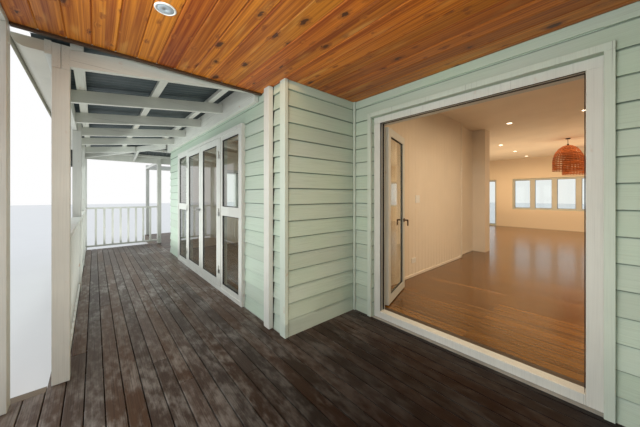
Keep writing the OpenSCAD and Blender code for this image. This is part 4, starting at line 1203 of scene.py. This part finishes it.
@dataclass
class SheetRoofs:
    """Corrugated steel sheets of the verandah, the main roof and the porch."""

    plan: HousePlan
    pitch: float = 76 * MM
    depth: float = 17 * MM
    metal: float = 1 * MM
    steps: int = 8
    mitre: float = 4 * MM
    shortest: float = 0.1 * MM
    seat: float = 0.5 * MM
    roof_t: float = 0.13
    cap_reach: float = 0.15
    inset: float = 40 * MM
    overlap: float = 0.1

    def build(self, nodes: Nodes) -> None:
        """Makes the sheets of each roof and coats the steel of the frame.

        Args:
            nodes: nodes of the frame.
        """
        steel = CoatedSteel("coated_roof_steel", "#454f52", dust=0.2)
        for name in ("main_roof", "roof_caps", "porch_roof"):
            coat(nodes[name], steel)
        coat(nodes["gutters"], CoatedSteel("coated_gutter_steel", "#c3c0b3", dust=0.3))
        self.verandah(steel)
        self.main(steel)
        self.porch(steel)

    def sheet(
        self, mesh: PieceMesh, start: float, end: float, ends: Callable[[float], tuple[float, float]],
        spot: Callable[[float, float, float], tuple[float, float, float]]
    ) -> None:
        """Adds one closed corrugated sheet.

        Args:
            mesh: mesh that takes the sheet.
            start: first edge across the corrugations.
            end: last edge across the corrugations.
            ends: gives the (near, far) ends of the sheet down the fall at a distance across.
            spot: gives the point at (across, down the fall, height over the sheet's seat).
        """
        count = max(2, round((end - start) / self.pitch * self.steps))
        points = []
        for i in range(count + 1):
            run = start + (end - start) * i / count
            near, far = ends(run)
            rise = (self.depth - self.metal) * (0.5 - 0.5 * math.cos(2 * math.pi * run / self.pitch))
            points += [spot(run, near, rise), spot(run, far, rise), spot(run, near, rise + self.metal),
                       spot(run, far, rise + self.metal)]
        faces = [(0, 1, 3, 2), tuple(4 * count + i for i in (1, 0, 2, 3))]
        for i in range(count):
            a, b = 4 * i, 4 * (i + 1)
            faces += [(a, b, b + 1, a + 1), (a + 2, a + 3, b + 3, b + 2), (a, a + 2, b + 2, b),
                      (a + 1, b + 1, b + 3, a + 3)]
        mesh.add(points, faces, smooth=True)

    def verandah(self, steel: Finish) -> None:
        """Lays the sheets of the lean-to roof, mitred over its hips.

        Args:
            steel: finish of the sheets.
        """
        low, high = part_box("verandah_roof")
        reach = self.plan.front_y - low.y
        slope = (high.z - low.z - self.depth - self.metal) / reach
        top = low.z + reach * slope
        side_x, front_y = self.plan.side_x, self.plan.front_y
        mesh = PieceMesh()
        for hand in (-1, 1):
            self.sheet(
                mesh, -reach, side_x - self.plan.porch_x - 1 * MM, lambda run: (max(0.0, -run), reach),
                lambda run, fall, rise: (hand * (side_x - run), front_y - fall, top - fall * slope + rise),
            )
            self.sheet(
                mesh, self.mitre - reach, self.plan.back_y - front_y,
                lambda run: (max(0.0, self.mitre - run), reach),
                lambda run, fall, rise: (hand * (side_x + fall), front_y + run, top - fall * slope + rise),
            )
        mesh.piece("verandah_sheets", steel, "roof_sheet", replaces=("verandah_roof",))

    def main(self, steel: Finish) -> None:
        """Lays sheets over the four planes of the main roof, up to the caps on its hips.

        Args:
            steel: finish of the sheets.
        """
        low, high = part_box("main_roof")
        reach_x, reach_y = high.x, high.y
        slope = (high.z - low.z - self.roof_t) / reach_y
        edge_z = low.z + self.roof_t + self.seat
        mesh = PieceMesh()
        for hand in (-1, 1):
            self.sheet(
                mesh, -reach_x + self.mitre, reach_x - self.mitre,
                lambda run: (0.0, max(min(reach_y, reach_x - abs(run)) - self.mitre, self.shortest)),
                lambda run, fall, rise: (run, hand * (reach_y - fall), edge_z + fall * slope + rise),
            )
            self.sheet(
                mesh, -reach_y + self.mitre, reach_y - self.mitre,
                lambda run: (0.0, max(reach_y - abs(run) - self.mitre, self.shortest)),
                lambda run, fall, rise: (hand * (reach_x - fall), run, edge_z + fall * slope + rise),
            )
        mesh.piece("main_roof_sheets", steel, "roof_sheet")

    def porch(self, steel: Finish) -> None:
        """Lays sheets over the two planes of the porch roof, down to where they meet the main roof.

        Args:
            steel: finish of the sheets.
        """
        low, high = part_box("porch_roof")
        main_low, main_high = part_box("main_roof")
        slope = (main_high.z - main_low.z - self.roof_t) / main_high.y
        mesh = PieceMesh()
        for hand in (-1, 1):
            self.sheet(
                mesh, low.y, high.y - self.inset,
                lambda run: (self.mitre, self.porch_fall(run, high, main_low, slope)),
                lambda run, fall, rise: (hand * fall, run, high.z + self.seat - fall * slope + rise),
            )
        ridge = high.z + self.depth + 2 * MM
        reach = self.cap_reach
        edge = ridge - reach * slope
        outline = [(edge, -reach), (ridge + 4 * MM, 0.0), (edge, reach),
                   (edge - self.metal, reach), (ridge + 2 * MM, 0.0), (edge - self.metal, -reach)]
        mesh.prism(outline, low.y, high.y - reach, Axis.Y)
        mesh.piece("porch_roof_sheets", steel, "roof_sheet")

    def porch_fall(self, run: float, high: Vector, main_low: Vector, slope: float) -> float:
        """Gives the length of the porch sheets from the ridge down.

        Args:
            run: y of the place along the ridge.
            high: highest corner of the porch roof.
            main_low: lowest corner of the main roof.
            slope: fall of both roofs for each metre.

        Returns:
            The distance to the edge or to the main roof.
        """
        main_z = main_low.z + self.roof_t + max(run - main_low.y, 0.0) * slope
        reach = high.x if run < main_low.y - self.overlap else (high.z - main_z) / slope
        return max(self.mitre + self.shortest, min(high.x, reach))


@dataclass
class GlazingSeals:
    """Black rubber seals that hold the panes in their leaves and frames, on both faces of each pane."""

    width: float = 9 * MM
    depth: float = 5 * MM
    jamb: float = 80 * MM
    clear: float = 6 * MM
    proud: float = 1.5 * MM
    jamb_seals_and_gap_shade: tuple[tuple[float, float], ...] = ((-4.694, -4.680), (-4.656, -4.630))

    def build(self, nodes: Nodes, joints: Sequence[dict]) -> None:
        """Fits seals to the panes of the house and of each leaf, and black strips to the entry jamb: rubber
        seals that also paint the shade of the gap.

        Args:
            nodes: nodes of the frame.
            joints: joints of the record, which tell how far each leaf stands open.
        """
        rubber = MouldedPlastic("moulded_rubber", "#141517", 0.55)
        self.fit(nodes["house_glass"], Matrix(), HOUSE, rubber)
        low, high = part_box("entry_door_left")
        # Two black strips on the entry jamb: rubber seals, and also painted shade of the gap between jamb and
        # open leaf.
        jambs = PieceMesh()
        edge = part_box("entry_frame")[1].x - self.jamb
        top = high.z + self.clear
        for near, far in self.jamb_seals_and_gap_shade:
            for start in (-edge, edge - self.proud):
                jambs.block((start, near, low.z), (start + self.proud, far, top), Axis.Z, 0.3 * MM)
            jambs.block((-edge, near, top - self.proud), (edge, far, top), Axis.X, 0.3 * MM)
        jambs.piece("entry_jamb_seals_and_gap_shade", rubber, "black_paint")
        panes = {
            "entry_left_swing": "entry_glass_left", "entry_right_swing": "entry_glass_right",
            "verandah_inner_swing": "verandah_glass_inner", "verandah_outer_swing": "verandah_glass_outer",
        }
        for joint in joints:
            pin = Matrix.Translation(joint["pos_m"])
            angle = math.radians(joint["range_deg"][0])
            shut = pin @ Matrix.Rotation(angle, 4, Vector(joint["axis"])) @ pin.inverted()
            self.fit(nodes[panes[joint["name"]]], shut, joint["child"], rubber)

    def fit(self, node: bpy.types.Object, shut: Matrix, body: str, rubber: Finish) -> None:
        """Lays four bars round both faces of each pane of a node.

        Args:
            node: node that holds the panes.
            shut: matrix that turns the leaf shut, square to the walls.
            body: body that the panes ride on.
            rubber: finish of the seals.
        """
        mesh = PieceMesh(seat=shut.inverted())
        for low, high in solid_boxes(node, shut):
            thin = 0 if high.x - low.x < high.y - low.y else 1
            wide = 1 - thin
            for face, out in ((low[thin], -self.depth), (high[thin], self.depth)):
                near, far = sorted((face, face + out))
                for level in (low.z, high.z - self.width):
                    a, b = low.copy(), high.copy()
                    a[thin], b[thin], a.z, b.z = near, far, level, level + self.width
                    mesh.block(a, b, (Axis.X, Axis.Y)[wide], 1 * MM)
                for start in (low[wide], high[wide] - self.width):
                    a, b = low.copy(), high.copy()
                    a[thin], b[thin], a[wide], b[wide] = near, far, start, start + self.width
                    a.z, b.z = low.z + self.width, high.z - self.width
                    mesh.block(a, b, Axis.Z, 1 * MM)
        mesh.piece(node.name + "_seals", rubber, "black_paint", body)


@dataclass
class HallLining:
    """Grooved lining boards, skirting and fittings of the hall wall beyond the entry."""

    cover: float = 100 * MM
    groove: float = 3.5 * MM
    skirting_h: float = 42 * MM
    skirting_t: float = 10 * MM
    jamb: float = 55 * MM
    switch_at: tuple[float, float] = (-3.199, 1.428)
    outlet_at: tuple[float, float] = (-3.318, 0.504)
    rockers: int = 2

    def build(self, nodes: Nodes) -> None:
        """Builds the walls in place of the plain ones, with skirting, switch plate and power outlet.

        Args:
            nodes: nodes of the frame.
        """
        walls = sorted(solid_boxes(nodes["hall_walls"]), key=lambda box: box[0].y)
        paint = InteriorPaint("rolled_wall_paint", "#e9dcc8")
        mesh, foot = PieceMesh(), PieceMesh()
        for number, (low, high) in enumerate(walls):
            if number:
                mesh.block(low, high, Axis.Z, 3 * MM)
            else:
                mesh.prism(self.section(low, high), low.z, high.z, Axis.Z)
            end = high.y if number < len(walls) - 1 else low.y
            if end - low.y > 0.1:
                top = (high.x + self.skirting_t, end, low.z + self.skirting_h)
                foot.block((high.x, low.y, low.z), top, Axis.Y, 4 * MM)
        mesh.piece("hall_linings", paint, "inner_paint", replaces=("hall_walls",))
        low, high = walls[0]
        top = (high.x + self.skirting_t, high.y, high.z)
        foot.block((high.x, high.y - self.jamb, low.z), top, Axis.Z, 3 * MM)
        foot.piece("hall_skirting", BrushedEnamel("painted_skirting", "#eee4d2", Axis.Y), "inner_paint")
        plates = PieceMesh()
        face = walls[0][1].x
        self.plate(plates, face, self.switch_at, 58 * MM, 58 * MM)
        self.plate(plates, face, self.outlet_at, 58 * MM, 36 * MM)
        plates.piece("hall_switch_plates", MouldedPlastic("moulded_urea", "#f2f0e8", 0.3), "lamp_rim")

    def section(self, low: Vector, high: Vector) -> list[tuple[float, float]]:
        """Draws the plan of the lined wall, with a V groove at each board joint.

        Args:
            low: lowest corner of the wall.
            high: highest corner.

        Returns:
            The (x, y) corners.
        """
        points = [(low.x, low.y), (high.x, low.y)]
        for i in range(1, math.floor((high.y - low.y) / self.cover)):
            y = low.y + i * self.cover
            points += [(high.x, y - self.groove), (high.x - self.groove, y), (high.x, y + self.groove)]
        return points + [(high.x, high.y), (low.x, high.y)]

    def plate(
        self, mesh: PieceMesh, face: float, at: tuple[float, float], half_w: float, half_h: float
    ) -> None:
        """Adds a wall plate with its rockers.

        Args:
            mesh: mesh that takes it.
            face: x of the wall.
            at: (y, z) of its middle.
            half_w: half its width.
            half_h: half its height.
        """
        y, z = at
        base, front = face - self.groove, face + 8 * MM
        mesh.block((base, y - half_w, z - half_h), (front, y + half_w, z + half_h), Axis.Z, 3 * MM)
        for i in range(self.rockers):
            middle = y + (2 * i + 1 - self.rockers) * half_w / self.rockers
            mesh.block((front, middle - 8 * MM, z - 12 * MM), (face + 11 * MM, middle + 8 * MM, z + 12 * MM),
                       Axis.Z, 1 * MM)


@dataclass
class CaneLamps:
    """Two domed pendants of woven cane, hung on cords from the ceiling of the back room."""

    ribs: int = 28
    rib_steps: int = 24
    rib_w: float = 12 * MM
    rib_t: float = 3 * MM
    rings: int = 17
    ring_w: float = 27 * MM
    rim_w: float = 14 * MM
    height: float = 0.63
    side: float = 0.19
    cap_r: float = 0.052
    weave: float = 4 * MM
    weave_t: float = 1.5 * MM
    inset: tuple[float, float] = (7 * MM, 8 * MM)

    def build(self, nodes: Nodes) -> None:
        """Weaves the shades in place of the plain ones and hangs them.

        Args:
            nodes: nodes of the frame.
        """
        cane, metal = PieceMesh(), PieceMesh()
        dice = random.Random(23)
        hung = sorted(solid_boxes(nodes["pendant_lamps"]), key=lambda box: box[0].z)
        domes = [box for box in hung if box[1].x - box[0].x > 0.4]
        ceiling = hung[-1][1].z
        for low, high in domes:
            middle = (low + high) / 2
            radius = (high.x - low.x) / 2
            height = min(high.z - low.z, self.height)
            rim = (middle.x, middle.y, low.z)
            self.shade(cane, dice, rim, radius - self.inset[0], height - self.inset[1])
            self.hang(metal, rim, height, ceiling)
        cane.piece("woven_shades", DyedCane("dyed_cane"), "woven_cane", replaces=("pendant_lamps",))
        metal.piece("lamp_cords", MouldedPlastic("moulded_cap", "#241d1a", 0.45), "black_paint")

    def radius_at(self, share: float, radius: float, height: float) -> tuple[float, float]:
        """Gives a point of the shade's outline.

        Args:
            share: place from the rim at 0 to the cap at 1.
            radius: radius of the rim.
            height: height of the shade.

        Returns:
            Its radius and its height over the rim.
        """
        dome = height - self.side
        straight = self.side / (self.side + 1.4 * dome)
        if share < straight:
            return radius, self.side * share / straight
        whole = math.acos(self.cap_r / radius)
        turn = (share - straight) / (1 - straight) * whole
        return radius * math.cos(turn), self.side + dome * math.sin(turn) / math.sin(whole)

    def shade(
        self, mesh: PieceMesh, dice: random.Random, at: Sequence[float], radius: float, height: float
    ) -> None:
        """Weaves one shade from ribs and rings.

        Args:
            mesh: mesh that takes the strands.
            dice: source of small differences.
            at: middle of the rim.
            radius: radius of the rim.
            height: height of the shade.
        """
        foot = Vector(at)
        for i in range(self.ribs):
            angle = 2 * math.pi * i / self.ribs
            path = []
            for j in range(self.rib_steps + 1):
                r, z = self.radius_at(j / self.rib_steps, radius, height)
                path.append(foot + Vector((r * math.cos(angle), r * math.sin(angle), z)))
            mesh.strand(path, self.rib_w, self.rib_t, dice.random())
        for j in range(self.rings + 1):
            r, z = self.radius_at(j / self.rings, radius, height)
            ahead, rise = self.radius_at(min(j / self.rings + 0.01, 1.0), radius, height)
            lean = math.atan2(r - ahead, max(rise - z, 1e-6)) if j < self.rings else math.radians(80)
            steps = self.ribs * 2
            path = []
            for i in range(steps):
                angle = 2 * math.pi * (i + 0.5) / steps
                out = self.weave * (1 if (i // 2 + j) % 2 else -1)
                reach = r + out * math.cos(lean)
                level = z + out * math.sin(lean)
                path.append(foot + Vector((reach * math.cos(angle), reach * math.sin(angle), level)))
            self.band(mesh, path, lean, self.ring_w if 0 < j < self.rings else self.rim_w, dice.random())

    def band(self, mesh: PieceMesh, path: Sequence[Vector], lean: float, width: float, board: float) -> None:
        """Adds a flat ring that leans in with the shade.

        Args:
            mesh: mesh that takes it.
            path: points round its middle.
            lean: angle by which the shade leans in there.
            width: width of the ring up the shade.
            board: number of its strand.
        """
        centre = sum(path, Vector()) / len(path)
        signs = ((-1, 1), (1, 1), (1, -1), (-1, -1))
        points = []
        for spot in path:
            out = spot - centre
            out.z = 0.0
            out.normalize()
            up = Vector((0.0, 0.0, math.cos(lean))) - out * math.sin(lean)
            away = out * math.cos(lean) + Vector((0.0, 0.0, math.sin(lean)))
            points += [spot + up * a * width / 2 + away * b * self.weave_t for a, b in signs]
        count = len(path)
        faces = [
            (4 * i + j, 4 * ((i + 1) % count) + j, 4 * ((i + 1) % count) + (j + 1) % 4, 4 * i + (j + 1) % 4)
            for i in range(count) for j in range(4)
        ]
        mesh.add(points, faces, board, smooth=True)

    def hang(self, mesh: PieceMesh, at: Sequence[float], height: float, ceiling: float) -> None:
        """Adds cap, cord and ceiling rose of one lamp.

        Args:
            mesh: mesh that takes them.
            at: middle of the rim.
            height: height of the shade.
            ceiling: height of the ceiling.
        """
        top, end = height, ceiling - at[2]
        cap = [(0.004, top - 40 * MM), (self.cap_r, top - 40 * MM), (self.cap_r + 6 * MM, top - 22 * MM),
               (self.cap_r, top - 6 * MM), (0.022, top), (0.018, top + 34 * MM), (0.004, top + 40 * MM)]
        mesh.turned(cap, at, 32)
        mesh.turned([(0.0005, top + 30 * MM), (0.005, top + 30 * MM), (0.005, end), (0.0005, end)], at, 12)
        rose = [(0.0005, end - 20 * MM), (0.036, end - 20 * MM), (0.047, end - 14 * MM),
                (0.050, end - 5 * MM), (0.050, end), (0.0005, end)]
        mesh.turned(rose, at, 40)


@dataclass
class RecessedLights:
    """Round ceiling lights, each a pressed rim round a domed lens."""

    rim: float = 0.2

    def build(self, nodes: Nodes, plan: HousePlan) -> None:
        """Makes rims and lenses in place of the plain discs: lit indoors, and off under the porch.

        Args:
            nodes: nodes of the frame.
            plan: main lines of the house, which tell the porch from the rooms.
        """
        rims, dull, lit = PieceMesh(), PieceMesh(), PieceMesh()
        for low, high in solid_boxes(nodes["ceiling_lights"]):
            middle = (low + high) / 2
            radius, drop = (high.x - low.x) / 2, high.z - low.z
            inner = radius * (1 - self.rim)
            at = (middle.x, middle.y, low.z)
            rims.turned([(inner, drop), (inner, 0.35 * drop), (inner + 0.3 * (radius - inner), 0.0),
                         (radius - 2 * MM, 0.3 * drop), (radius, 0.6 * drop), (radius, drop)], at, 48)
            lens = dull if middle.y < plan.entry_y else lit
            lens.turned([(0.5 * MM, drop), (0.5 * MM, 0.2 * drop), (0.6 * inner, 0.26 * drop),
                         (inner, 0.5 * drop), (inner, drop)], at, 48)
        rims.piece("ceiling_light_rims", CoatedSteel("coated_lamp_rim", "#f4f4f0", 0.3), "lamp_rim",
                   replaces=("ceiling_lights",))
        dull.piece("porch_light_lens", FrostedAcrylic("unlit_acrylic", "#a9b2b9"), "lamp_rim")
        lit.piece("room_light_lenses", FrostedAcrylic("lit_acrylic", "#ffe9c8", 6.0), "lamp_rim")


@dataclass
class Joinery:
    """Doors, windows, hinges and handles, whose shapes are the frame's own."""

    leaves: tuple[str, ...] = (
        "entry_frame", "verandah_frames", "fixed_sashes", "window_frames", "entry_door_left",
        "entry_door_right", "verandah_door_inner", "verandah_door_outer",
    )
    panes: tuple[str, ...] = (
        "house_glass", "entry_glass_left", "entry_glass_right", "verandah_glass_inner",
        "verandah_glass_outer",
    )

    def dress(self, nodes: Nodes) -> None:
        """Coats joinery, glass, metal and the rooms' plain surfaces.

        Args:
            nodes: nodes of the frame.
        """
        white = BrushedEnamel("enamelled_joinery", DOOR_WHITE, Axis.Z, roughness=0.34)
        for name in self.leaves:
            coat(nodes[name], white)
            soften(nodes[name], 2 * MM)
        glass = FloatGlass("float_glass")
        for name in self.panes:
            coat(nodes[name], glass)
        steel = BrushedMetal("satin_steel")
        for name in ("door_hinges", "verandah_handle_outer"):
            coat(nodes[name], steel)
        coat(nodes["entry_handle_left"], BrushedMetal("dark_bronze", "#5f432c", 0.36))
        coat(nodes["post_light"], CoatedSteel("black_coated_steel", "#202124", 0.38, 0.25))
        soften(nodes["post_light"], 3 * MM)
        coat(nodes["entry_threshold"], SawnTimber("oiled_threshold", "#4d4237", Axis.X, 0.45))
        coat(nodes["room_floor"], PolishedFloor("sealed_floorboards"))
        coat(nodes["room_ceiling"], InteriorPaint("rolled_ceiling_paint", "#efe6d6"))


@dataclass
class Studio:
    """Camera at the photograph's place, soft light, and a pale floor."""

    location: tuple[float, float, float] = (0.884, -6.955, 1.477)
    heading: float = 48.967
    focal: float = 14.6
    lift: float = -0.0276
    sky: float = 1.0
    sunlight: float = 1.3
    floor_half: float = 60.0

    def build(self) -> None:
        """Sets up camera, lights, world and floor.

        The lamps stand under the roofs and in the rooms, where the sky and the sun don't reach.
        """
        self.camera()
        self.world()
        self.sun()
        self.floor()
        self.lamp("porch_fill", (0.0, -7.3, 2.3), (0.2, -4.7, 1.0), (1.5, 0.3), 34.0, "#eef5f4")
        self.lamp("porch_uplight", (0.2, -6.3, 0.32), (0.2, -6.3, 3.0), (2.6, 2.0), 7.5, "#fff0da")
        self.lamp("ceiling_bounce", (0.0, -6.3, 2.5), (0.0, -6.3, 0.0), (2.6, 1.6), 10.0, "#ffc47e")
        for hand, side in ((-1, "left"), (1, "right")):
            fill, aim, middle = 4.9 * hand, 5.0 * hand, 4.5 * hand
            self.lamp(f"verandah_fill_{side}", (fill, -6.9, 2.2), (aim, -5.6, 1.0), (3.4, 0.3), 28.0,
                      "#eaf3f2")
            self.lamp(f"verandah_uplight_{side}", (middle, -6.45, 0.32), (middle, -6.45, 3.0), (5.2, 0.9),
                      50.0, "#f2f5f2")
        self.lamp("hall_light", (1.2, -3.0, 2.75), (1.2, -3.0, 0.0), (2.6, 2.2), 78.0, "#ffe4c0")
        self.lamp("room_light", (0.0, 2.8, 2.75), (0.0, 2.8, 0.0), (7.0, 3.0), 165.0, "#ffdcac")
        self.lamp("room_glow", (0.0, 2.6, 0.7), (0.0, 2.6, 3.0), (6.0, 3.0), 95.0, "#ffdfb4")

    def camera(self) -> None:
        """Sets the camera."""
        lens = bpy.data.cameras.new("porch_camera")
        lens.sensor_width = 36.0
        lens.lens = self.focal
        lens.shift_y = self.lift
        lens.clip_start = 0.02
        lens.clip_end = 500.0
        made = bpy.data.objects.new("porch_camera", lens)
        made.location = self.location
        made.rotation_euler = (math.radians(90), 0.0, math.radians(self.heading))
        bpy.context.scene.collection.objects.link(made)
        bpy.context.scene.camera = made

    def lamp(
        self, name: str, at: Sequence[float], aim: Sequence[float], size: tuple[float, float], power: float,
        colour: str
    ) -> None:
        """Adds a soft area lamp that isn't seen itself.

        Args:
            name: name of the lamp.
            at: its place.
            aim: point that it faces.
            size: its width and height.
            power: its power in watts.
            colour: sRGB hex colour of its light.
        """
        light = bpy.data.lights.new(name, "AREA")
        light.shape = "RECTANGLE"
        light.size, light.size_y = size
        light.energy = power
        light.color = linear(colour)[:3]
        made = bpy.data.objects.new(name, light)
        made.location = at
        made.rotation_euler = (Vector(aim) - Vector(at)).to_track_quat("-Z", "Y").to_euler()
        made.visible_camera = False
        made.visible_glossy = False
        made.visible_transmission = False
        bpy.context.scene.collection.objects.link(made)

    def world(self) -> None:
        """Sets an even pale sky that shows white behind the house."""
        world = bpy.data.worlds.new("pale_sky")
        bpy.context.scene.world = world
        world.use_nodes = True
        add = partial(add_node, world.node_tree)
        path = add("LightPath").node.outputs
        beyond = add("Math", (path["Is Glossy Ray"], path["Is Transmission Ray"]), operation="MAXIMUM")
        seen = add("Math", (path["Is Camera Ray"], beyond), operation="MAXIMUM")
        soft = add("Background", (linear("#e8effa"), self.sky))
        white = add("Background", ((1.0, 1.0, 1.0, 1.0), 1.0))
        join(world.node_tree.nodes["World Output"], {"Surface": add("MixShader", (seen, soft, white))})

    def sun(self) -> None:
        """Adds a very soft sun from the front left, low enough to reach under the roofs."""
        light = bpy.data.lights.new("soft_sun", "SUN")
        light.energy = self.sunlight
        light.angle = math.radians(55)
        light.color = linear("#f6f6f4")[:3]
        made = bpy.data.objects.new("soft_sun", light)
        made.rotation_euler = Vector((0.55, 0.75, -0.5)).to_track_quat("-Z", "Y").to_euler()
        bpy.context.scene.collection.objects.link(made)

    def floor(self) -> None:
        """Adds the pale floor that the house stands on."""
        half = self.floor_half
        mesh = bpy.data.meshes.new("pale_floor")
        ring = ((-half, -half), (half, -half), (half, half), (-half, half))
        mesh.from_pydata([(x, y, -1 * MM) for x, y in ring], [], [(0, 1, 2, 3)])
        made = bpy.data.objects.new("pale_floor", mesh)
        bpy.context.scene.collection.objects.link(made)
        mesh.materials.append(InteriorPaint("pale_floor", "#dddddb", 0.985).material())


def main() -> None:
    """Loads the frame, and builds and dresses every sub-assembly."""
    logging.basicConfig(level=logging.INFO, format="%(message)s")
    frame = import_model()
    nodes = frame["nodes"]
    bpy.context.scene.view_settings.view_transform = "Standard"
    plan = HousePlan.from_frame()
    Studio().build()
    Joinery().dress(nodes)
    GlazingSeals().build(nodes, frame["record"]["behaviour"]["joints"])
    TimberFrame().dress(nodes)
    WallBoards(plan).build(nodes)
    Decking(plan).build()
    PorchCeiling(plan).build()
    SheetRoofs(plan).build(nodes)
    HallLining().build(nodes)
    CaneLamps().build(nodes)
    RecessedLights().build(nodes, plan)


if __name__ == "__main__":
    main()
